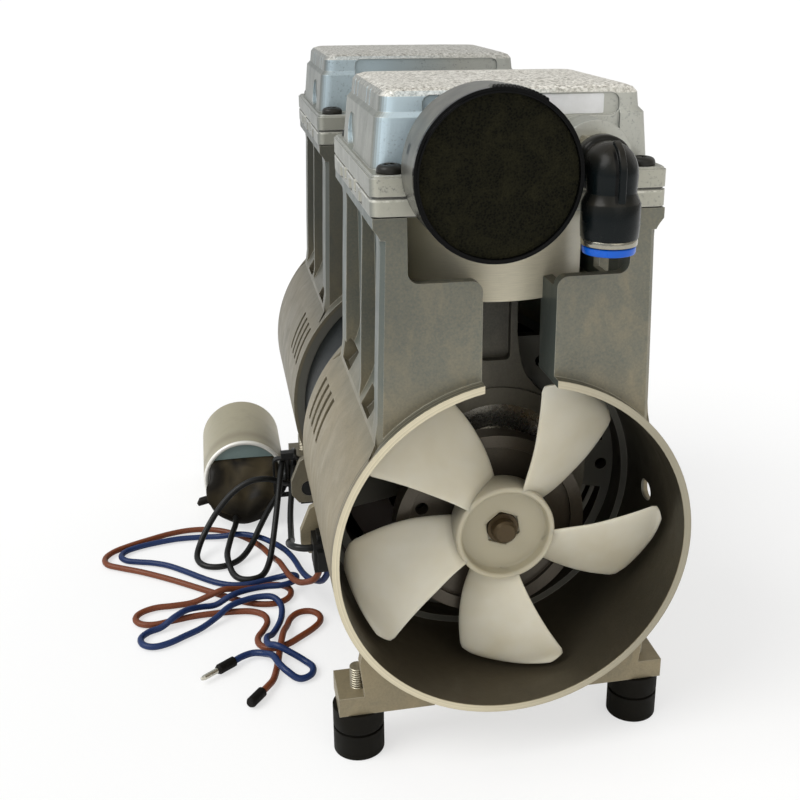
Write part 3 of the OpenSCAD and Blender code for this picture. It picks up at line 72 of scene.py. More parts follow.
def look_through():
    """Camera solved from the photograph, looking slightly right and down."""
    yaw, pitch, roll = (math.radians(a) for a in (YAW, PITCH, ROLL))
    fwd = Vector((math.sin(yaw) * math.cos(pitch), math.cos(yaw) * math.cos(pitch), -math.sin(pitch)))
    right = Vector((math.cos(yaw), -math.sin(yaw), 0))
    up = right.cross(fwd)
    side = right * math.cos(roll) + up * math.sin(roll)
    top = up * math.cos(roll) - right * math.sin(roll)
    data = bpy.data.cameras.new("camera")
    data.sensor_width = SENSOR
    data.lens = FOCAL_PIXELS / PHOTO_SIDE * SENSOR
    data.shift_x, data.shift_y = (pixels / PHOTO_SIDE for pixels in SHIFT_PIXELS)
    data.clip_start = 0.01
    camera = bpy.data.objects.new("camera", data)
    bpy.context.scene.collection.objects.link(camera)
    place = Matrix((side, top, -fwd)).transposed().to_4x4()
    place.translation = Vector(EYE) * MM
    camera.matrix_world = place
    bpy.context.scene.camera = camera


look_through()


# The three leads, their routes chosen along the photographed ones, from the gland outwards

LEAD_R = 1.5
CAP_LEAD_R = 1.6
BROWN = [
    (-63, -33, 36), (-63, -33, 33), (-63.8, -31, 28.6), (-65.6, -26.6, 23.6), (-68, -20, 19),
    (-71, -11, 14), (-73.6, -2, 11), (-75.6, 7, 9.4), (-77.4, 16, 8.4), (-78.6, 25, 6),
    (-80.2, 33, 3.4), (-82.6, 41, 1.8), (-86, 50, 1.6), (-91.5, 59, 1.6), (-99.5, 68, 1.6),
    (-110, 75, 1.6), (-122, 77.5, 1.6), (-134, 75.5, 1.6), (-146, 70.5, 1.6), (-156, 65.5, 1.6),
    (-163, 60.5, 1.6), (-166.4, 54.4, 1.6), (-165, 48, 1.6), (-159, 43.6, 1.6), (-148, 37, 1.6),
    (-138, 30, 1.6), (-129, 23, 1.6), (-120, 15.5, 1.6), (-111, 8, 1.6), (-103, 1.5, 1.6),
    (-96.5, -3.4, 1.6), (-89.5, -6.6, 1.6), (-82.4, -7.2, 1.6), (-76.6, -3.8, 1.6),
    (-74.6, 2.4, 1.6), (-77.4, 8, 1.6), (-83.6, 10.4, 1.6), (-91.6, 9.2, 1.6), (-100, 6.8, 3.4),
    (-107, 4.6, 5.2), (-114, 3, 3.6), (-122, 1.6, 1.6), (-131, 0.6, 1.6), (-139.4, 0.4, 1.6),
    (-146, -2.8, 1.6), (-148.2, -7.6, 1.6), (-145.8, -12.4, 1.6), (-139.8, -14.4, 1.6),
    (-130.5, -12.6, 1.6), (-121, -10.8, 1.6), (-111, -10.4, 1.6), (-101.5, -10.8, 1.6),
    (-94, -12.4, 1.6), (-88.8, -16.8, 1.6), (-87.6, -23, 1.6), (-89.8, -29.6, 1.6),
    (-92.6, -35.6, 1.6), (-91.8, -41.6, 1.6), (-86.8, -45.2, 1.6), (-80, -43.4, 1.6),
    (-73, -38, 1.6), (-66.6, -32.2, 1.6), (-63.2, -27, 1.6), (-63.4, -21.4, 1.6),
    (-67.2, -17.6, 1.6), (-72.6, -17.8, 1.6), (-76.6, -22, 1.6), (-78.8, -28.6, 2),
    (-80.6, -35.4, 4), (-82, -42.8, 5.2), (-83.6, -50, 3.6), (-85, -57, 1.8), (-86.4, -64, 1.6),
    (-88, -70, 2), (-90.6, -74.6, 2.4), (-93, -77.8, 2.4)]
BLUE = [
    (-59.2, -33, 36), (-59.2, -33, 33), (-59.8, -31, 28), (-61.4, -26.5, 22.8), (-63.6, -19, 18.6),
    (-66, -10, 14.8), (-68, 0, 12), (-69.4, 10, 9.8), (-70.6, 20, 8), (-72.4, 30, 6.4),
    (-75.5, 39.5, 5.4), (-80.8, 48, 5.2), (-88, 55.4, 5.4), (-97, 61, 5), (-107, 65.4, 2.4),
    (-118, 68.2, 1.6), (-130, 68.6, 1.6), (-141, 66.6, 1.6), (-150, 63.8, 1.6),
    (-156.2, 60.2, 1.6), (-158.4, 55, 1.6), (-155.6, 50.2, 1.6), (-149.8, 47.6, 1.6),
    (-142.4, 45, 1.6), (-134.5, 40.6, 1.6), (-126, 33, 1.6), (-118, 25, 1.6), (-110.5, 18.4, 1.6),
    (-103, 14.4, 1.6), (-95, 13.4, 1.6), (-87, 15.2, 1.6), (-79.6, 17, 1.8), (-73.6, 15.2, 3.4),
    (-71, 10.2, 5), (-73.4, 5.2, 5.2), (-79.4, 3, 5.2), (-87, 3.4, 5.2), (-96.6, 1.6, 5.2),
    (-103.6, -1.8, 5.2), (-111, -4.4, 2.6), (-118, -6.6, 3.6), (-124.4, -10.6, 5.2),
    (-130, -15, 4.8), (-136, -18, 2), (-141.8, -20.4, 1.6), (-145, -25, 1.6), (-143.6, -30.4, 1.6),
    (-138.8, -33, 1.6), (-132.4, -31.4, 1.6), (-125.4, -27, 1.6), (-118, -22, 1.6),
    (-111, -16.6, 3), (-104.6, -11.6, 5.2), (-97.6, -7.4, 5.2), (-90, -5.6, 5.2),
    (-83.6, -7.4, 5.2), (-80.4, -13, 3.6), (-80.8, -20, 1.8), (-83, -27.4, 1.6), (-86, -34.4, 2),
    (-88.6, -40.4, 4.6), (-88.4, -46.6, 5.2), (-84.6, -51.4, 6.8), (-78.6, -54.8, 4.4),
    (-73, -58.4, 1.8), (-70.2, -63.4, 1.6), (-71.6, -68.8, 1.6), (-76.8, -71, 2),
    (-81.6, -68, 4.4), (-84.8, -62.6, 5.2), (-86.8, -56.6, 5.2), (-89.8, -51.2, 3.2),
    (-95, -48.6, 2.6), (-100, -50.2, 2.6), (-104, -53.2, 2.6)]
BLACK = [
    (-66, -35, 45), (-69, -35, 45), (-72.4, -33.6, 45), (-74.8, -30.4, 44.4), (-75.8, -25.6, 43),
    (-75.2, -18, 40), (-73.6, -8, 35), (-73, 5, 29.6), (-72.2, 19, 26), (-71.4, 33, 25),
    (-70.2, 46, 26.4), (-68.6, 57, 29.6), (-67, 66.5, 33.6), (-65.8, 75, 37), (-65.2, 82, 38.6),
    (-64.8, 88.5, 38.5), (-64.5, 94.2, 36.2), (-64.4, 96.5, 30.5), (-64.5, 94.2, 24.8),
    (-64.8, 88.5, 22.5), (-65.8, 81.5, 22.6), (-68.2, 74.5, 25.4), (-73.5, 68.5, 30),
    (-81, 65.5, 34), (-90, 64, 34), (-99, 63, 29), (-107, 61, 21), (-113.5, 57.5, 12.6),
    (-118, 51.5, 6), (-119.6, 44, 2.6), (-116.6, 37, 1.8), (-110, 33.6, 1.8), (-103, 35, 1.8),
    (-97, 40, 2.2), (-91.6, 47.5, 5), (-86.4, 56, 10.8), (-81, 64, 16.4), (-76, 70, 20.8),
    (-72.2, 74.6, 23.2), (-70.8, 80, 24), (-70, 85.6, 26), (-69.6, 88, 31.3), (-70, 85.6, 36.6),
    (-71, 80, 38.6), (-72.4, 73, 37.8), (-74.4, 63.5, 33), (-76.6, 53, 25.4), (-79, 43, 17.4),
    (-81.4, 34, 9.8), (-83.8, 26.6, 4.6), (-87.4, 20.4, 2), (-93, 17.6, 1.8), (-98.6, 19.4, 1.8),
    (-102, 24.6, 2.4), (-103.8, 32, 5), (-104.2, 40, 5.4), (-103.2, 48, 5.6), (-101.2, 56, 7.8),
    (-99.4, 63.4, 8.4), (-98.6, 70, 8), (-98.6, 75, 8)]


def make_lead(name, points, radius):
    """A smooth round lead through its route's points.

    The knots carry the radius and the bevel is 1 m, because Blender counts a knot's radius in the bounds.
    """
    data = bpy.data.curves.new(name, "CURVE")
    data.dimensions = "3D"
    data.resolution_u = 6
    data.bevel_depth = 1.0
    data.bevel_resolution = 4
    data.use_fill_caps = True
    line = data.splines.new("BEZIER")
    line.bezier_points.add(len(points) - 1)
    route = [Vector(p) * MM for p in points]
    for i, knot in enumerate(line.bezier_points):
        here = route[i]
        before = route[max(i - 1, 0)]
        after = route[min(i + 1, len(route) - 1)]
        way = (after - before).normalized()
        knot.handle_left_type = knot.handle_right_type = "FREE"
        knot.co = here
        knot.radius = radius * MM
        knot.handle_left = here - way * (here - before).length / 3
        knot.handle_right = here + way * (after - here).length / 3
    lead = bpy.data.objects.new(name, data)
    bpy.context.scene.collection.objects.link(lead)
    return lead


brown = make_lead("brown_lead_skin", BROWN, LEAD_R)
blue = make_lead("blue_lead_skin", BLUE, LEAD_R)
black = make_lead("capacitor_lead_skin", BLACK, CAP_LEAD_R)
for lead, node in ((brown, "brown_lead"), (blue, "blue_lead"), (black, "capacitor_lead")):
    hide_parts(node)
    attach(lead, "frame")


# Finishes made of shader nodes, on each piece's own metres

class Nodes:
    """A tree of shader nodes; a value is a number, a colour or what a node gives out."""

    def __init__(self, tree):
        self.tree = tree

    def add(self, kind, **settings):
        made = self.tree.nodes.new("ShaderNode" + kind)
        for key, value in settings.items():
            setattr(made, key, value)
        return made

    def put(self, value, socket):
        if isinstance(value, bpy.types.NodeSocket):
            self.tree.links.new(value, socket)
        else:
            socket.default_value = value

    def span(self, value, low, high, to_low=0.0, to_high=1.0):
        """Goes from to_low to to_high while value goes from low to high, and stays there outside."""
        made = self.add("MapRange")
        self.put(value, made.inputs["Value"])
        limits = {"From Min": low, "From Max": high, "To Min": to_low, "To Max": to_high}
        for key, number in limits.items():
            made.inputs[key].default_value = number
        return made.outputs["Result"]

    def mix(self, share, a, b, how="MIX"):
        """Colour a with share of colour b over it."""
        made = self.add("Mix", data_type="RGBA", blend_type=how)
        for value, socket in ((share, made.inputs[0]), (a, made.inputs[6]), (b, made.inputs[7])):
            if isinstance(value, tuple):
                value = (*value, 1)
            self.put(value, socket)
        return made.outputs[2]

    def maths(self, how, a, b=0.0):
        made = self.add("Math", operation=how)
        self.put(a, made.inputs[0])
        self.put(b, made.inputs[1])
        return made.outputs[0]

    def times(self, first, *others):
        """Product of its values."""
        for value in others:
            first = self.maths("MULTIPLY", first, value)
        return first

    def off(self, value, middle):
        """How far value is from middle, either way."""
        return self.maths("ABSOLUTE", self.maths("SUBTRACT", value, middle))

    def camera_ray(self):
        """1 where the camera looks straight at a thing, 0 in the light it gives to others."""
        return self.add("LightPath").outputs["Is Camera Ray"]


class Finish(Nodes):
    """A material built up in steps: base is its colour so far, normal its surface so far."""

    def __init__(self, name, metallic=0.0, roughness=0.5, **plain):
        self.material = bpy.data.materials.new(name)
        self.material.use_nodes = True
        super().__init__(self.material.node_tree)
        self.shader = self.tree.nodes["Principled BSDF"]
        self.shader.inputs["Metallic"].default_value = metallic
        self.shader.inputs["Roughness"].default_value = roughness
        for key, value in plain.items():
            self.shader.inputs[key.replace("_", " ")].default_value = value
        self.place = self.add("TexCoord").outputs["Object"]
        self.base = None
        self.worn_and_lit_edges = None
        self.normal = None
        self.xyz = None
        self.face = None

    def stretched(self, sx, sy, sz):
        """The piece's own coordinates, scaled along each axis."""
        made = self.add("Mapping")
        made.inputs["Scale"].default_value = (sx, sy, sz)
        self.put(self.place, made.inputs["Vector"])
        return made.outputs["Vector"]

    def noise(self, size, detail=3.0, rough=0.55, warp=0.0, place=None):
        """Cloudy values 0 to 1 whose blobs are about size millimetres."""
        made = self.add("TexNoise")
        self.put(place or self.place, made.inputs["Vector"])
        made.inputs["Scale"].default_value = 1 / (size * MM)
        made.inputs["Detail"].default_value = detail
        made.inputs["Roughness"].default_value = rough
        made.inputs["Distortion"].default_value = warp
        return made.outputs["Fac"]

    def cells(self, size):
        """Distance from the middle of the nearest cell, cells about size millimetres wide."""
        made = self.add("TexVoronoi", feature="F1")
        self.put(self.place, made.inputs["Vector"])
        made.inputs["Scale"].default_value = 1 / (size * MM)
        return made.outputs["Distance"]

    def ramp(self, value, *stops):
        """Colour from value: stops are (place, colour)."""
        made = self.add("ValToRGB")
        self.put(value, made.inputs["Fac"])
        line = made.color_ramp.elements
        while len(line) < len(stops):
            line.new(1.0)
        for stop, (at, tint) in zip(line, stops):
            stop.position = at
            stop.color = (*tint, 1)
        return made.outputs["Color"]

    def axis(self, which):
        """Millimetres along X (0), Y (1) or Z (2) of the whole object."""
        if self.xyz is None:
            self.xyz = self.add("SeparateXYZ")
            self.put(self.place, self.xyz.inputs[0])
        return self.times(self.xyz.outputs[which], 1 / MM)

    def radius(self, x, z):
        """Millimetres from the line along Y through x and z."""
        u = self.maths("SUBTRACT", self.axis(0), x)
        v = self.maths("SUBTRACT", self.axis(2), z)
        return self.maths("SQRT", self.maths("ADD", self.times(u, u), self.times(v, v)))

    def facing(self, which):
        """How far the surface faces along an axis of the piece, -1 to 1."""
        if self.face is None:
            self.face = self.add("SeparateXYZ")
            self.put(self.add("NewGeometry").outputs["Normal"], self.face.inputs[0])
        return self.face.outputs[which]

    def edges(self, reach):
        """1 along the edges of the shape within reach millimetres, 0 on the faces."""
        bevel = self.add("Bevel", samples=6)
        bevel.inputs["Radius"].default_value = reach * MM
        dot = self.add("VectorMath", operation="DOT_PRODUCT")
        self.put(bevel.outputs["Normal"], dot.inputs[0])
        self.put(self.add("NewGeometry").outputs["Normal"], dot.inputs[1])
        return self.span(self.maths("SUBTRACT", 1.0, dot.outputs["Value"]), 0.02, 0.3)

    def bump(self, height, depth, strength):
        """Raises the surface by height times depth millimetres."""
        made = self.add("Bump")
        made.inputs["Strength"].default_value = strength
        made.inputs["Distance"].default_value = depth * MM
        self.put(height, made.inputs["Height"])
        if self.normal:
            self.put(self.normal, made.inputs["Normal"])
        self.normal = made.outputs["Normal"]
        self.put(self.normal, self.shader.inputs["Normal"])

    def round_edges(self, reach):
        """Shades the edges as if rounded by reach millimetres."""
        made = self.add("Bevel", samples=6)
        made.inputs["Radius"].default_value = reach * MM
        self.normal = made.outputs["Normal"]
        self.put(self.normal, self.shader.inputs["Normal"])

    def lay(self, share, tint):
        """Lays share of a tint over the colour so far."""
        self.base = self.mix(share, self.base, tint)

    def paint(self):
        """Hands the colour so far to the shader."""
        self.put(self.base, self.shader.inputs["Base Color"])

    def rough(self, value):
        self.put(value, self.shader.inputs["Roughness"])

    def metal(self, value):
        self.put(value, self.shader.inputs["Metallic"])


def scaled(tint, k):
    return tuple(min(1.0, c * k) for c in tint)


def casting(name, low, high, z_low=130, z_high=160, grain=0.8, pits=0.05, metallic=0.35, rough=0.5):
    """Die-cast aluminium, its tint going from low below z_low to high above z_high."""
    f = Finish(name, metallic=metallic, roughness=rough)
    f.round_edges(0.45)
    f.base = f.mix(f.span(f.axis(2), z_low, z_high), low, high)
    broad = f.noise(45, 4, 0.55, 0.5)
    flow = f.noise(9, 5, 0.6, 0.6, f.stretched(1, 1, 0.5))
    fine = f.noise(grain, 2, 0.6)
    f.lay(f.span(broad, 0.35, 0.7, 0.0, 0.4), scaled(high, 0.72))
    f.lay(f.span(flow, 0.5, 0.72, 0.0, 0.35), scaled(low, 1.3))
    f.lay(f.span(flow, 0.42, 0.28, 0.0, 0.35), scaled(high, 0.7))
    f.base = f.mix(1.0, f.base, (0.88, 0.88, 0.88), "MULTIPLY")
    f.lay(f.span(fine, 0.3, 0.72, 0.0, 0.22), scaled(low, 1.45))
    # Edges that take a pale tint: partly wear, partly painted highlight
    f.worn_and_lit_edges = f.edges(0.5)
    f.rough(f.span(flow, 0.3, 0.7, rough * 1.15, rough * 0.85))
    f.bump(fine, pits, 0.6)
    f.bump(f.noise(3.2, 4, 0.6), pits * 2.4, 0.5)
    return f


def edge_wear_and_highlight(f, share, tint):
    """Lays a tint along the edges, partly worn metal and partly a painted highlight, and hands the colour
    to the shader.
    """
    f.lay(f.times(f.worn_and_lit_edges, share), tint)
    f.paint()
    return f


def seams(f, *heights):
    """Thin dark lines where castings meet, each with a ragged glint under it."""
    upright = f.span(f.maths("ABSOLUTE", f.facing(2)), 0.6, 0.4)
    for z in heights:
        line = f.span(f.off(f.axis(2), z), 0.42, 0.26)
        f.lay(f.times(line, upright, 0.92), (0.006, 0.005, 0.004))
        glint = f.span(f.off(f.axis(2), z - 0.95), 0.5, 0.2)
        ragged = f.span(f.noise(2.5, 3, 0.7, 0.4), 0.42, 0.6, 0, 0.6)
        f.lay(f.times(glint, upright, ragged), (0.85, 0.83, 0.74))


def turning_marks(f, ring):
    """Fine circles left by a lathe, 0 to 1."""
    place = f.add("CombineXYZ")
    f.put(f.times(ring, MM), place.inputs[0])
    return f.span(f.noise(0.5, 2, 0.5, 0, place.outputs[0]), 0.3, 0.7)


def crankcase_look():
    """Tawny casting, greyer on the tower, with a turned cream lip; painted shade darkens the inside of
    the drum, the rear half, the tower top towards the left and the lip's right, painted light lifts the
    drum's front-facing web, and a painted cool reflection lies on the tower's left-facing sides.
    """
    f = casting("cast_body", (0.275, 0.225, 0.135), (0.165, 0.17, 0.14), rough=0.46)
    ring = f.radius(0, SHAFT_Z)
    far = f.maths("ABSOLUTE", f.axis(1))
    # Painted shade inside the drum, deepest towards the right
    inside = f.times(f.span(ring, BORE_R + 1, BORE_R), f.span(far, LIP_Y - 0.1, LIP_Y - 0.4))
    shade = f.mix(f.span(f.axis(0), 15, 55), (0.05, 0.04, 0.025), (0.016, 0.0145, 0.011))
    f.lay(f.times(inside, 0.86), shade)
    # Painted light on the front-facing web deep in the drum, lifting it out of the painted shade
    web = f.times(inside, f.span(far, 100, 95), f.span(f.facing(1), -0.6, -0.9))
    f.lay(f.times(web, 0.8), (0.2, 0.195, 0.165))
    # Painted shade, darker towards the left on the tower top
    left = f.span(f.axis(0), -15, -50, 0, 0.35)
    f.lay(f.times(left, f.span(f.axis(2), 150, 170)), (0.05, 0.055, 0.048))
    # Painted cool reflection on the tower's left-facing sides
    facing_left = f.span(f.facing(0), -0.3, -0.8)
    f.lay(f.times(facing_left, f.span(f.axis(2), 128, 150, 0, 0.7)), (0.075, 0.1, 0.1))
    # Painted shade on the rear half
    f.lay(f.span(f.axis(1), 5, 20, 0, 0.5), (0.05, 0.05, 0.042))
    outer = f.span(ring, DRUM_R - 0.3, DRUM_R)
    for below_lip, wide in ((1.4, 0.35), (3.1, 0.2)):
        line = f.span(f.off(far, LIP_Y - below_lip), wide + 0.2, wide)
        f.lay(f.times(line, outer, 0.75), (0.05, 0.043, 0.03))
    edge_wear_and_highlight(f, 0.62, (0.6, 0.57, 0.48))
    cream = f.mix(turning_marks(f, ring), (0.55, 0.49, 0.35), (0.72, 0.65, 0.48))
    # Painted shade on the lip's right side
    cream = f.mix(f.span(f.axis(0), -20, 50, 0, 0.75), cream, (0.24, 0.22, 0.17))
    f.lay(f.span(far, LIP_Y, LIP_Y + 0.12), cream)
    f.paint()
    f.metal(f.span(far, LIP_Y, LIP_Y + 0.12, 0.3, 0.55))
    return f


def head_look():
    """Grey casting with a sandy, speckled top; painted light makes the front face paler, with a painted
    cool reflection towards its left, and painted shade darkens the rear head and the left-facing sides.
    """
    f = casting("head_casting", (0.36, 0.355, 0.3), (0.3, 0.31, 0.28), 228, 252, grain=1.0, pits=0.08,
                metallic=0.4, rough=0.42)
    # Painted light on the front face: a cool painted reflection to the left, warmer to the right, duller
    # at its foot
    front = f.span(f.facing(1), -0.35, -0.85)
    panel = f.mix(f.span(f.axis(0), -18, 18), (0.6, 0.74, 0.82), (0.52, 0.52, 0.47))
    panel = f.mix(f.span(f.axis(2), 229, 227.6), panel, (0.44, 0.43, 0.36))
    f.lay(f.times(front, 0.85), panel)
    dots = f.span(f.noise(1.1, 3, 0.7), 0.56, 0.68)
    patches = f.span(f.noise(14, 3, 0.6), 0.45, 0.62)
    f.lay(f.times(dots, patches, 0.6), (0.1, 0.11, 0.12))
    top = f.times(f.span(f.facing(2), 0.35, 0.8), f.span(f.axis(2), 249.5, 251))
    sand = f.noise(1.25, 3, 0.75)
    f.lay(top, f.ramp(sand, (0.34, (0.2, 0.175, 0.14)), (0.46, (0.6, 0.57, 0.5)), (0.6, (1, 0.97, 0.9))))
    # Painted shade on the rear head
    f.lay(f.span(f.axis(1), 5, 20, 0, 0.32), (0.1, 0.115, 0.12))
    # Painted shade on the left-facing sides
    f.lay(f.span(f.facing(0), -0.45, -0.85, 0, 0.42), (0.05, 0.065, 0.07))
    seams(f, TOWER_TOP, HEAD_BASE)
    edge_wear_and_highlight(f, 0.6, (0.72, 0.72, 0.68))
    f.bump(f.times(sand, top), 0.7, 0.9)
    return f


def plain_metal(name, tint, rough=0.35, streak=None, dirt=0.25, metallic=0.9):
    """Metal with fine lines, drawn out by streak along each axis, and some dirt."""
    f = Finish(name, metallic=metallic, roughness=rough)
    f.round_edges(0.25)
    place = f.stretched(*streak) if streak else f.place
    line = f.noise(1.4, 3, 0.6, 0, place)
    f.base = f.ramp(line, (0.3, scaled(tint, 0.82)), (0.7, tint))
    f.lay(f.span(f.noise(9, 4, 0.7, 0.8), 0.5, 0.75, 0, dirt), scaled(tint, 0.35))
    f.paint()
    f.rough(f.span(line, 0.3, 0.7, rough * 0.8, rough * 1.35))
    f.bump(line, 0.03, 0.5)
    return f


def dark_rubber(name, tint, rough=0.62, grain=0.5, dust=0.25):
    """Cloudy dark rubber with specks of dust."""
    f = Finish(name, roughness=rough, Specular_IOR_Level=0.12)
    f.round_edges(0.6)
    speck = f.noise(grain, 3, 0.6)
    cloud = f.noise(11, 4, 0.65, 0.5)
    f.base = f.ramp(cloud, (0.3, scaled(tint, 0.6)), (0.7, tint))
    f.lay(f.span(speck, 0.6, 0.85, 0, dust), (0.07, 0.065, 0.05))
    f.paint()
    f.rough(f.span(cloud, 0.3, 0.7, rough * 0.85, rough * 1.15))
    f.bump(speck, 0.04, 0.6)
    return f


def gloss_plastic(name, tint, rough=0.22, scuff=0.12, gloss=0.3):
    """Smooth plastic with upright scuffs and a slightly wavy surface."""
    f = Finish(name, roughness=rough, Specular_IOR_Level=gloss)
    f.round_edges(0.4)
    cloud = f.noise(14, 3, 0.55)
    scratch = f.noise(1.6, 4, 0.7, 0.2, f.stretched(1, 1, 0.12))
    f.base = f.mix(f.span(scratch, 0.6, 0.85, 0, scuff), tint, (0.12, 0.12, 0.11))
    f.paint()
    f.rough(f.span(cloud, 0.3, 0.7, rough * 0.75, rough * 1.4))
    f.bump(cloud, 0.08, 0.4)
    f.bump(f.noise(0.5, 2), 0.02, 0.3)
    return f


def muffler_look():
    """Black can whose side carries a painted grey reflection, fainter towards the bottom, and one small
    dark hole.
    """
    f = gloss_plastic("muffler_black", (0.002, 0.002, 0.002), 0.12, 0.02, gloss=0.09)
    ring = f.radius(MUFFLER_X, MUFFLER_Z)
    # Painted reflection on the can's side, fading towards the bottom
    side = f.times(f.span(ring, MUFFLER_R - 0.4, MUFFLER_R - 0.1),
                   f.span(f.axis(1), MUFFLER_FACE_Y, MUFFLER_FACE_Y + 0.8),
                   f.span(f.axis(2), 212, 226, 0.15, 1))
    f.lay(side, f.ramp(f.noise(8, 3, 0.6, 0.4), (0.3, (0.1, 0.1, 0.09)), (0.7, (0.18, 0.175, 0.15))))
    hole_y, hole_z, hole_half = -140.5, 237.5, 1.5
    hole = f.times(f.span(f.off(f.axis(2), hole_z), hole_half + 0.4, hole_half - 0.2),
                   f.span(f.off(f.axis(1), hole_y), hole_half + 0.6, hole_half),
                   f.span(f.axis(0), -37, -38))
    f.lay(hole, (0.002, 0.002, 0.002))
    f.paint()
    f.metal(f.times(side, 0.4))
    f.rough(f.span(side, 0, 1, 0.13, 0.3))
    return f


def can_look():
    """Pale drawn can with a painted highlight on its rim and a slate lid."""
    f = plain_metal("can_metal", (0.42, 0.38, 0.265), 0.42, (0.4, 4, 0.4), 0.18, 0.32)
    band = f.span(f.off(f.axis(1), CAN_BAND_Y), 7.0, 1.0)
    f.lay(f.times(band, 0.45), (0.2, 0.17, 0.11))
    ring = f.radius(CAN_X, CAN_Z)
    # Painted highlight on the rim
    rim = f.times(f.span(f.axis(1), CAN_END_Y - 0.7, CAN_END_Y - 1.1), f.span(ring, 20.3, 20.7))
    f.lay(rim, (0.86, 0.84, 0.78))
    lid = f.times(f.span(f.axis(1), CAN_END_Y + 0.2, CAN_END_Y - 0.1), f.span(ring, 20.6, 20.2))
    f.lay(lid, (0.2, 0.27, 0.26))
    f.paint()
    f.metal(f.span(lid, 0, 1, 0.35, 0.0))
    return f


def sleeve_look():
    """Satin turned sleeve with painted light making its shaded left and right paler."""
    f = plain_metal("sleeve_aluminium", (0.72, 0.66, 0.5), 0.4, (0.2, 0.2, 9), 0.08, 0.12)
    # Painted light on the left and right, where the sleeve lies in shade
    f.lay(f.times(f.span(f.axis(0), -20, -34), 0.95), (1, 0.92, 0.66))
    f.lay(f.times(f.span(f.axis(0), 22, 34), 0.7), (1, 0.97, 0.82))
    f.paint()
    return f


def stud_look():
    """Zinc-plated stud with a rolled thread."""
    f = plain_metal("stud_thread", (0.5, 0.46, 0.36), 0.34, None, 0.35)
    wave = f.add("TexWave", wave_type="BANDS", bands_direction="Z")
    f.put(f.place, wave.inputs["Vector"])
    wave.inputs["Scale"].default_value = 310.0
    f.bump(wave.outputs["Fac"], 0.35, 1.0)
    return f


def nylon():
    """Milky nylon that lets a little light through, a bit dusty."""
    f = Finish("fan_nylon", roughness=0.36, IOR=1.5, Subsurface_Weight=0.3)
    f.shader.inputs["Subsurface Radius"].default_value = (1.0, 0.85, 0.6)
    f.shader.inputs["Subsurface Scale"].default_value = 0.003
    cloud = f.noise(26, 3, 0.55, 0.3)
    f.base = f.ramp(cloud, (0.3, (0.6, 0.545, 0.41)), (0.7, (0.68, 0.64, 0.53)))
    f.lay(f.span(f.radius(0, SHAFT_Z), HUB_R + 2.8, HUB_R - 2.2, 0, 0.8), (0.34, 0.3, 0.2))
    f.paint()
    f.rough(f.span(f.noise(6, 4, 0.6), 0.3, 0.7, 0.3, 0.46))
    f.bump(f.noise(4.5, 3, 0.5), 0.05, 0.35)
    return f


def foam():
    """Open-cell filter foam, nearly black olive."""
    f = Finish("muffler_foam", roughness=0.95, IOR=1.2)
    pores = f.cells(0.75)
    f.base = f.ramp(pores, (0.15, (0.0015, 0.0015, 0.001)), (0.6, (0.0095, 0.009, 0.0045)))
    f.lay(f.span(f.noise(9, 4, 0.65, 1.0), 0.45, 0.7, 0, 0.7), (0.018, 0.0165, 0.0075))
    f.paint()
    f.bump(pores, 0.45, 0.7)
    return f


def boot_look():
    """Soft black rubber with a brown shine on top of its folds."""
    f = dark_rubber("boot_black", (0.013, 0.0105, 0.007), 0.42, 0.8, 0.1)
    fold = f.times(f.span(f.facing(2), 0.2, 0.85), f.span(f.noise(16, 2, 0.5, 0.5), 0.4, 0.62))
    f.lay(f.times(fold, 0.8), (0.085, 0.066, 0.036))
    f.paint()
    return f


def elbow_look():
    """Black plastic with a warm light from above and a dark line left of its rib."""
    f = gloss_plastic("fitting_black", (0.003, 0.005, 0.0055), 0.24, 0.05, gloss=0.16)
    warm = f.times(f.span(f.facing(2), 0.1, 0.8), f.span(f.noise(90, 3, 0.6, 1.2), 0.35, 0.6))
    f.lay(f.times(warm, 0.9), (0.07, 0.055, 0.036))
    beside = f.span(f.off(f.axis(0), ELBOW_X - 1.35), 0.65, 0.35)
    in_front = f.times(f.span(f.axis(2), 221, 222), f.span(f.axis(1), ELBOW_Y - 3, ELBOW_Y - 5))
    f.lay(f.times(beside, in_front), (0.0, 0.0, 0.0))
    f.paint()
    return f


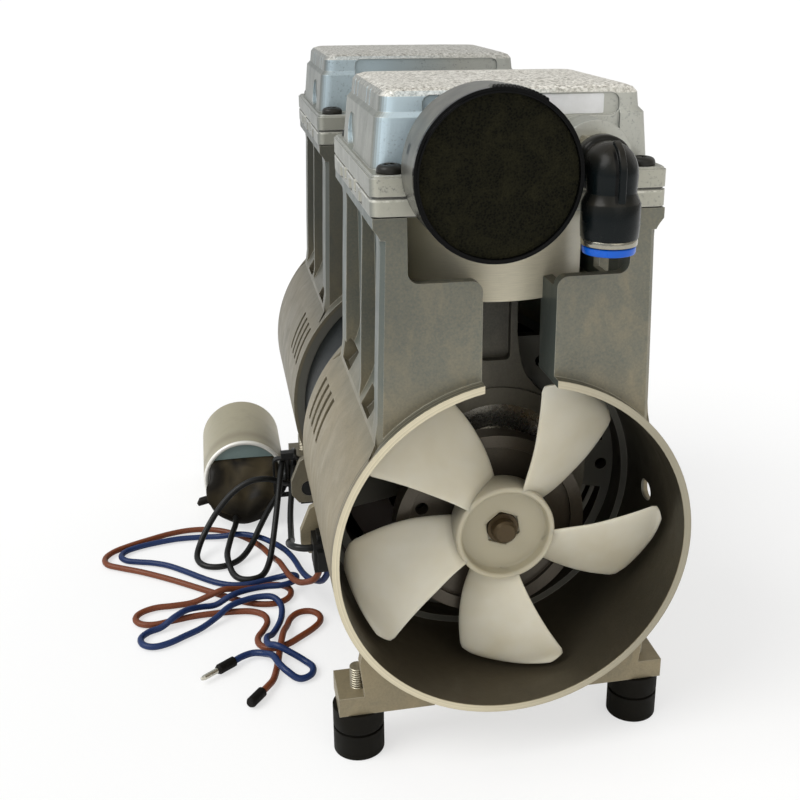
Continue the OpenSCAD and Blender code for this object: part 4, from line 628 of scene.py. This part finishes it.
LOOKS = {
    "cast_body": crankcase_look(),
    "head_casting": head_look(),
    "rod_casting": edge_wear_and_highlight(casting("rod_casting", (0.15, 0.135, 0.1), (0.1, 0.095, 0.08)),
                        0.5, (0.35, 0.32, 0.25)),
    "grey_iron": edge_wear_and_highlight(casting("grey_iron", (0.085, 0.07, 0.05), (0.06, 0.05, 0.038), rough=0.4),
                      0.6, (0.3, 0.26, 0.2)),
    "laminations": plain_metal("laminations", (0.014, 0.018, 0.019), 0.45, (0.2, 8, 0.2), 0.4),
    "rotor_iron": plain_metal("rotor_iron", (0.1, 0.1, 0.1), 0.4, (0.3, 6, 0.3)),
    "shaft_steel": plain_metal("shaft_steel", (0.075, 0.05, 0.022), 0.42, (1, 0.2, 1), 0.5, 0.6),
    "bearing_steel": plain_metal("bearing_steel", (0.42, 0.4, 0.35), 0.24, (1, 1, 1), 0.25),
    "zinc_steel": plain_metal("zinc_steel", (0.42, 0.4, 0.32), 0.32, (1, 1, 0.2), 0.3),
    "reed_steel": plain_metal("reed_steel", (0.55, 0.56, 0.56), 0.25, (0.3, 2, 1)),
    "sleeve_aluminium": sleeve_look(),
    "nickel_brass": plain_metal("nickel_brass", (0.5, 0.46, 0.35), 0.24, (1, 1, 1), 0.12),
    "tube_aluminium": plain_metal("tube_aluminium", (0.5, 0.5, 0.47), 0.3, (2, 0.2, 2)),
    "can_metal": can_look(),
    "pin_tin": plain_metal("pin_tin", (0.66, 0.64, 0.56), 0.25, (1, 1, 1), 0.2),
    "enamel_wire": plain_metal("enamel_wire", (0.035, 0.018, 0.009), 0.4, (1, 1, 1), 0.35, 0.2),
    "black_screws": gloss_plastic("black_screws", (0.012, 0.011, 0.008), 0.36, 0.3),
    "muffler_black": muffler_look(),
    "fitting_black": elbow_look(),
    "clear_ring": plain_metal("clear_ring", (0.36, 0.34, 0.28), 0.16, (1, 1, 1), 0.3),
    "release_blue": gloss_plastic("release_blue", (0.002, 0.1, 0.56), 0.28, 0.03),
    "boot_black": boot_look(),
    "gland_black": gloss_plastic("gland_black", (0.006, 0.006, 0.0055), 0.4, 0.12),
    "foot_rubber": dark_rubber("foot_rubber", (0.005, 0.004, 0.0018), 0.6, 0.5, 0.08),
    "seal_rubber": dark_rubber("seal_rubber", (0.01, 0.01, 0.01), 0.5),
    "seal_ptfe": dark_rubber("seal_ptfe", (0.06, 0.045, 0.03), 0.45),
    "lead_black": gloss_plastic("lead_black", (0.0075, 0.0075, 0.007), 0.36, 0.2),
    "lead_brown": gloss_plastic("lead_brown", (0.17, 0.045, 0.016), 0.4, 0.05),
    "lead_blue": gloss_plastic("lead_blue", (0.01, 0.028, 0.105), 0.36, 0.06),
    "sleeve_black": dark_rubber("sleeve_black", (0.009, 0.008, 0.007), 0.55, 0.4, 0.3),
    "fan_nylon": nylon(),
    "muffler_foam": foam(),
}
STUD = stud_look()


def dress():
    """Gives every frame node the finish of its slot, which its CAD material is named after."""
    for name, obj in NODES.items():
        slots = obj.data.materials
        look = STUD if name == "foot_studs" else LOOKS[slots[0].name.split(".")[0]]
        for i in range(len(slots)):
            slots[i] = look.material


dress()
for lead, slot in ((brown, "lead_brown"), (blue, "lead_blue"), (black, "lead_black")):
    lead.data.materials.append(LOOKS[slot].material)


# Pieces with their own fine meshes, in millimetres

def circle(around):
    """Angles of around points spread over a full turn."""
    return [2 * math.pi * k / around for k in range(around)]


def clamp(value):
    return max(0.0, min(1.0, value))


def split_edges(obj, degrees):
    """Shades edges sharper than degrees as edges, not as round."""
    split = obj.modifiers.new("edges", "EDGE_SPLIT")
    split.split_angle = math.radians(degrees)


def build(name, verts, faces, slot, body, smooth=True):
    """A mesh in millimetres, in the finish of its slot, riding on a body."""
    data = bpy.data.meshes.new(name)
    data.from_pydata([(x * MM, y * MM, z * MM) for x, y, z in verts], [], faces)
    data.update()
    mesh = bmesh.new()
    mesh.from_mesh(data)
    bmesh.ops.remove_doubles(mesh, verts=mesh.verts, dist=1e-7)
    bmesh.ops.recalc_face_normals(mesh, faces=mesh.faces)
    for face in mesh.faces:
        face.smooth = smooth
    mesh.to_mesh(data)
    mesh.free()
    data.materials.append(LOOKS[slot].material)
    obj = bpy.data.objects.new(name, data)
    bpy.context.scene.collection.objects.link(obj)
    # The sticker's finish is no slot of the record
    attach(obj, body)
    return obj


def rings(loops, hollow=False):
    """Verts and faces of a skin over equal closed loops of points.

    The first and last loop are capped, or joined to each other where the form is hollow.
    """
    n = len(loops[0])
    count = len(loops)
    verts = [p for loop in loops for p in loop]
    faces = []
    for i in range(count if hollow else count - 1):
        here, there = i * n, (i + 1) % count * n
        for k in range(n):
            m = (k + 1) % n
            faces.append((here + k, here + m, there + m, there + k))
    if not hollow:
        faces.append(tuple(range(n)))
        faces.append(tuple(range((count - 1) * n, count * n)))
    return verts, faces


def join(parts):
    """One list of verts and faces from several."""
    verts, faces = [], []
    for v, f in parts:
        at = len(verts)
        verts += v
        faces += [tuple(i + at for i in face) for face in f]
    return verts, faces


def hexagon(angle, r):
    """Distance to the side of a hexagon of corner radius r in the direction angle."""
    turn = (angle % (math.pi / 3)) - math.pi / 6
    return r * math.cos(math.pi / 6) / math.cos(turn)


def lead_deg(q):
    """Angle of a blade's leading edge at radius q, swept back over the last 3 mm."""
    return 18.5 - 7 * (60 - min(q, 60)) / 40 - (6 * ((q - 59) / 3) ** 2 if q > 59 else 0)


def trail_deg(q):
    """Angle of a blade's trailing edge at radius q, drawn in over the last 5 mm."""
    return -20 - 0.42 * (58 - min(q, 58)) + (10.5 * ((q - 57) / 5) ** 2 if q > 57 else 0)


def fan_blade(turn):
    """One blade as a closed skin whose edges are round."""
    root_r, tip_r, depth, crown, half_thick = 17.5, 60.0, 14, 1.2, 0.9
    rows = [root_r + (tip_r - root_r) * i / 22 for i in range(23)]
    rows += [FAN_R - step for step in (1.4, 0.9, 0.5, 0.2, 0.0)]
    cols = 22
    loops = []
    for q in rows:
        width = depth * (0.86 + 0.14 * clamp((q - 24) / 10))
        tip = math.sqrt(max(0.02, 1 - max(0.0, (q - FAN_R + 1.2) / 1.2) ** 2))
        loop = []
        for side in (1, -1):
            for c in range(cols):
                s = c / cols if side > 0 else 1 - c / cols
                t = 0.5 - 0.5 * math.cos(math.pi * s)
                thick = half_thick * tip * math.sqrt(max(0.0, 1 - abs(2 * t - 1) ** 14))
                a = math.radians(trail_deg(q) + t * (lead_deg(q) - trail_deg(q)) + turn)
                y = BLADE_Y - (t - 0.5) * width - crown * math.sin(math.pi * t) + side * thick
                loop.append((q * math.cos(a), y, SHAFT_Z + q * math.sin(a)))
        loops.append(loop)
    return rings(loops)


def fan_hub():
    """Cupped hub with a rolled rim and a six-sided mouth round the shaft.

    The line holds radius, place along Y and how six-sided the skin is there, 0 to 1.
    """
    line = [(6.1, -108.5, 0), (9.2, -108.5, 0), (9.5, -108.8, 0), (9.5, -113.4, 0), (10.2, -114, 0),
            (16, -114, 0), (16.8, -113.2, 0), (16.8, -110.3, 0), (17.2, -110, 0), (18.8, -110, 0),
            (19.2, -110.4, 0), (19.2, -120.8, 0), (19.05, -121.4, 0), (18.6, -121.85, 0),
            (18, -122, 0), (17.4, -121.85, 0), (16.95, -121.4, 0), (16.8, -120.8, 0),
            (16.8, -118, 0), (16.5, -117.3, 0), (15.8, -117, 0), (9.4, -117, 0),
            (8.6, -117.0, 0.4), (7.5, -117, 1), (7.2, -116.8, 1), (7.2, -115.6, 1), (7.0, -115.5, 1),
            (6.1, -115.5, 0)]
    mouth_turn = 0.35
    loops = []
    for r, y, six in line:
        loop = []
        for a in circle(144):
            reach = r + six * (hexagon(a + mouth_turn, r) - r)
            loop.append((reach * math.cos(a), y, SHAFT_Z + reach * math.sin(a)))
        loops.append(loop)
    return rings(loops, hollow=True)


def make_fan(name, side):
    """Hub and five blades; side is 1 for the front fan and -1 for the rear one, which mirrors it."""
    first, count = -12, 5
    blades = [fan_blade(first + 360 / count * k) for k in range(count)]
    verts, faces = join([fan_hub()] + blades)
    obj = build(name + "_skin", [(x, side * y, z) for x, y, z in verts], faces, "fan_nylon", "shaft")
    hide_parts(name)
    split_edges(obj, 50)


make_fan("front_fan", 1)
make_fan("rear_fan", -1)


def pan_screw():
    """Round-topped screw with a cross recess, its seat at z 0; the line holds radius and height."""
    slot_half, slot_reach, slot_depth = 0.75, 2.5, 1.3
    line = [(0.02, 3.0), (0.35, 3.0), (0.7, 2.99), (1.0, 2.98), (1.3, 2.96), (1.6, 2.94), (1.9, 2.92),
            (2.2, 2.89), (2.6, 2.84), (3.1, 2.74), (3.6, 2.56), (4.0, 2.3), (4.3, 1.95), (4.5, 1.5),
            (4.6, 1.0), (4.6, 0.2), (4.5, 0.0), (2.5, 0.0), (2.5, -10), (2.5, -28.4), (1.9, -29.0)]
    loops = []
    for r, z in line:
        loop = []
        for a in circle(64):
            x, y = r * math.cos(a), r * math.sin(a)
            low = 0.0
            if z > 2:
                near, far = sorted((abs(x), abs(y)))
                low = slot_depth * clamp((slot_half - near) / 0.2) * clamp((slot_reach - far) / 0.3)
            loop.append((x, y, z - low))
        loops.append(loop)
    return rings(loops)


def make_screws(name, side):
    """Four screws on the corners of a head, each turned its own way; side is -1 in front."""
    across, along, seat_z = 43, 44.5, 228
    verts, faces = pan_screw()
    parts = []
    for i in range(2):
        for j in range(2):
            x = across * (2 * i - 1)
            y = side * (CYLINDER_Y + along * (2 * j - 1))
            turn = 0.5 + 0.9 * i + 1.7 * j
            c, s = math.cos(turn), math.sin(turn)
            placed = [(x + c * u - s * v, y + s * u + c * v, seat_z + w) for u, v, w in verts]
            parts.append((placed, faces))
    obj = build(name + "_skin", *join(parts), "black_screws", "frame")
    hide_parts(name)
    split_edges(obj, 48)


make_screws("front_head_screws", -1)
make_screws("rear_head_screws", 1)


def boot_folds():
    """Loops of the boot, s going from 0 at the can to 1 at the closed front."""
    loops = []
    steps, depth = 32, 19.2
    for i in range(steps + 1):
        s = i / steps
        y = CAN_END_Y - 0.6 - depth * s
        top = 34.2 - 21.5 * s ** 1.25
        base = 20.4 - 0.8 * s
        mid = Vector((0, 0, top / 2))
        shrink = math.sqrt(max(0.0, 1 - max(0.0, (s - 0.84) / 0.165) ** 2))
        loop = []
        for a in circle(96):
            x = base * math.cos(a)
            z = CAN_Z - 0.2 + base * math.sin(a)
            if z > top:
                z = top + 0.5 * math.tanh((z - top) / 10) + 1.1 * math.sin(0.42 * x + 5 * s) * s
            fold = 0.7 * math.sin(5 * a + 6 * s) * math.sin(math.pi * min(1, 1.3 * s))
            place = Vector((x * 0.07, y * 0.1, z * 0.07))
            fold += 1.6 * noise.noise(place * 1.3) * min(1, 2 * s)
            out = Vector((x, 0, z)) - mid
            out = mid + (out + out.normalized() * fold) * shrink
            loop.append((min(BOOT_RIGHT, CAN_X - 1.5 * s + out.x), y, max(BOOT_LOW, out.z)))
        loops.append(loop)
    return loops


def make_boot():
    """Soft boot over the terminals, hanging in folds from a slanting top, with a tab on its left."""
    steps, tab_r, tab_y = 12, 2.35, 88.5
    tab = []
    for i in range(steps + 1):
        s = i / steps
        r = tab_r * math.sqrt(max(0.0, 1 - max(0.0, (0.12 - s) / 0.125) ** 2))
        x, z = -118.7 + 10 * s, 12.6 + 2.2 * s
        tab.append([(x + 0.3 * math.sin(a), tab_y + r * math.cos(a), z + r * math.sin(a))
                    for a in circle(24)])
    obj = build("capacitor_boot_skin", *join([rings(boot_folds()), rings(tab)]), "boot_black", "frame")
    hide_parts("capacitor_boot")


make_boot()


def outlet_loop(r, z):
    """Level circle about the elbow's outlet, running the same way as the last loop of its bend."""
    return [(ELBOW_X + r * math.cos(a), ELBOW_Y - r * math.sin(a), z) for a in circle(64)]


def elbow_shell():
    """Collar at the nipple, sharp bend, and the outlet's collar with its open socket."""
    back_y, bend_r, pipe_r = -138.1, 2.2, 8.3
    loops = []
    for r, ahead in ((4.7, 0), (9.2, 0), (9.5, 0.4), (9.5, 4.5), (9.2, 5.0), (pipe_r, 5.5)):
        loops.append([(ELBOW_X + r * math.cos(a), back_y - ahead, ELBOW_Z + r * math.sin(a))
                      for a in circle(64)])
    for i in range(17):
        t = math.radians(90 * i / 16)
        y = ELBOW_Y + bend_r - bend_r * math.sin(t)
        z = ELBOW_Z - bend_r + bend_r * math.cos(t)
        loops.append([(ELBOW_X + pipe_r * math.cos(a), y - pipe_r * math.sin(a) * math.sin(t),
                       z + pipe_r * math.sin(a) * math.cos(t)) for a in circle(64)])
    collar = [(8.0, 224.0), (8.1, 223.6), (9.3, 220.9), (9.6, 220.4), (9.6, 213.5), (9.4, 209.6),
              (9.2, 209.25)]
    socket = [(7.45, 209.25), (7.45, 214.5), (6.2, 214.5), (6.2, 217.2)]
    loops += [outlet_loop(r, z) for r, z in collar + socket]
    return rings(loops)


def elbow_rib():
    """Rib with chamfered edges over the elbow's back and down its front."""
    low, high, chamfer = 7.2, 10.0, 0.3
    profile = ((-0.8, low), (-0.8, high - chamfer), (-0.8 + chamfer, high),
               (1.5 - chamfer, high), (1.5, high - chamfer), (1.5, low))
    middle_y, middle_z = ELBOW_Y + 0.8, ELBOW_Z - 0.8
    loops = []
    for i in range(25):
        t = math.radians(12 + 78 * i / 24)
        loops.append([(ELBOW_X + w, middle_y - r * math.sin(t), middle_z + r * math.cos(t))
                      for w, r in profile])
    for z in (226.0, 221.6):
        loops.append([(ELBOW_X + w, middle_y - r, z) for w, r in profile])
    return rings(loops)


def outlet_ring(line):
    """Closed ring about the elbow's outlet; the line holds radius and height."""
    loops = []
    for r, z in line:
        loops.append([(ELBOW_X + r * math.cos(a), ELBOW_Y + r * math.sin(a), z) for a in circle(72)])
    return rings(loops, hollow=True)


def make_elbow():
    """Push-in elbow: a bent black body with a rib, a bright ring and a blue release ring."""
    clear = [(7.5, 209.15), (9.0, 209.15), (9.15, 208.95), (9.15, 207.4), (9.05, 207.1), (8.85, 207.1),
             (8.85, 208.5), (7.5, 208.5)]
    release = [(6.15, 212.5), (7.3, 212.5), (7.3, 206.9), (8.4, 206.8), (8.7, 206.5), (8.7, 204.8),
               (8.45, 204.3), (7.9, 204.1), (6.6, 204.1), (6.15, 204.5)]
    body = build("elbow_skin", *join([elbow_shell(), elbow_rib()]), "fitting_black", "elbow")
    ring = build("grip_ring_skin", *outlet_ring(clear), "clear_ring", "elbow")
    blue = build("release_ring_skin", *outlet_ring(release), "release_blue", "release")
    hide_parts("elbow_body")
    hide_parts("elbow_grip_ring")
    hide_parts("release_ring")
    for obj in (body, ring, blue):
        split_edges(obj, 40)


make_elbow()


def make_ridges():
    """Slanting grip ridges on top of the muffler's rim."""
    half, high, sunk = 0.85, 0.75, 0.4
    ends = ((-0.6, 0.0), (0.0, high), (3.2, high), (5.0, 0.0))
    parts = []
    first, step, count = 58, 2.6, 15
    for k in range(count):
        middle = math.radians(first + step * k)
        loops = []
        for back, rise in ends:
            loop = []
            for across, up in ((-half, -sunk), (-half * 0.35, rise), (half * 0.35, rise), (half, -sunk)):
                a = middle + across / MUFFLER_R
                r = MUFFLER_R + up
                loop.append((MUFFLER_X + r * math.cos(a), MUFFLER_FACE_Y + back + 0.9 * across,
                             MUFFLER_Z + r * math.sin(a)))
            loops.append(loop)
        parts.append(rings(loops))
    build("muffler_ridges", *join(parts), "muffler_black", "frame", smooth=False)


make_ridges()


def make_label():
    """Blank white sticker on the front of the head."""
    f = Finish("sticker_white", roughness=0.35, Coat_Weight=0.2)
    f.base = f.ramp(f.noise(5, 3), (0.3, (0.78, 0.78, 0.78)), (0.7, (0.86, 0.86, 0.87)))
    f.paint()
    f.bump(f.noise(4, 3), 0.04, 0.4)
    LOOKS["sticker"] = f
    left, right, bottom, top, corner_r = 9.0, 31.5, 244.4, 251.0, 0.5
    corners = ((right - corner_r, top - corner_r), (left + corner_r, top - corner_r),
               (left + corner_r, bottom + corner_r), (right - corner_r, bottom + corner_r))
    loops = []
    for y, inset in ((-117.6, 0.0), (-118.28, 0.0), (-118.36, 0.12)):
        loop = []
        for quarter, (x, z) in enumerate(corners):
            for step in (0, 45, 90):
                a = math.radians(90 * quarter + step)
                r = corner_r - inset
                loop.append((x + r * math.cos(a), y, z + r * math.sin(a)))
        loops.append(loop)
    build("blank_label", *rings(loops), "sticker", "frame", smooth=False)


make_label()


# Floor, light and view

def make_floor(scene):
    """White paper, wide and just under the feet, that glows a little for the camera; in metres."""
    half, sunk = 40.0, 0.0004
    data = bpy.data.meshes.new("floor")
    mesh = bmesh.new()
    bmesh.ops.create_grid(mesh, x_segments=1, y_segments=1, size=half)
    mesh.to_mesh(data)
    mesh.free()
    floor = bpy.data.objects.new("floor", data)
    floor.location.z = -sunk
    scene.collection.objects.link(floor)
    f = Finish("floor_paper", roughness=0.95, Specular_IOR_Level=0.1)
    f.base = f.ramp(f.noise(120, 2), (0.3, (0.985, 0.985, 0.985)), (0.7, (0.99, 0.99, 0.99)))
    f.paint()
    share = f.add("MixShader")
    f.put(f.times(f.camera_ray(), 0.6), share.inputs[0])
    f.put(f.shader.outputs["BSDF"], share.inputs[1])
    f.put(f.add("Emission").outputs["Emission"], share.inputs[2])
    f.put(share.outputs[0], f.tree.nodes["Material Output"].inputs["Surface"])
    data.materials.append(f.material)


def make_sky(scene):
    """World that lights the object cooler from the left than from the right and looks white itself."""
    warm, cool, white = (0.46, 0.445, 0.42), (0.62, 0.66, 0.7), (1.0, 1.0, 1.0)
    world = bpy.data.worlds.new("studio")
    scene.world = world
    world.use_nodes = True
    sky = Nodes(world.node_tree)
    way = sky.add("SeparateXYZ")
    sky.put(sky.add("TexCoord").outputs["Generated"], way.inputs[0])
    from_left = sky.span(way.outputs[0], -1.0, 1.0, 1.0, 0.0)
    seen = sky.mix(sky.camera_ray(), sky.mix(from_left, warm, cool), white)
    sky.put(seen, world.node_tree.nodes["Background"].inputs["Color"])


def make_sun(scene, name, azimuth, height, power, soft, tint):
    """Light from azimuth degrees right of the front and height degrees up, soft degrees wide."""
    data = bpy.data.lights.new(name, "SUN")
    data.energy = power
    data.angle = math.radians(soft)
    data.color = tint
    lamp = bpy.data.objects.new(name, data)
    a, h = math.radians(azimuth), math.radians(height)
    way = Vector((math.sin(a) * math.cos(h), -math.cos(a) * math.cos(h), math.sin(h)))
    lamp.rotation_euler = (-way).to_track_quat("-Z", "Y").to_euler()
    scene.collection.objects.link(lamp)


def studio():
    scene = bpy.context.scene
    scene.view_settings.view_transform = "Standard"
    make_floor(scene)
    make_sky(scene)
    make_sun(scene, "key", -75, 48, 1.75, 40, (1, 0.99, 0.965))
    make_sun(scene, "fill", 15, 35, 0.45, 50, (1, 0.95, 0.86))
    make_sun(scene, "side", 110, 30, 0.3, 50, (1, 0.97, 0.93))


studio()
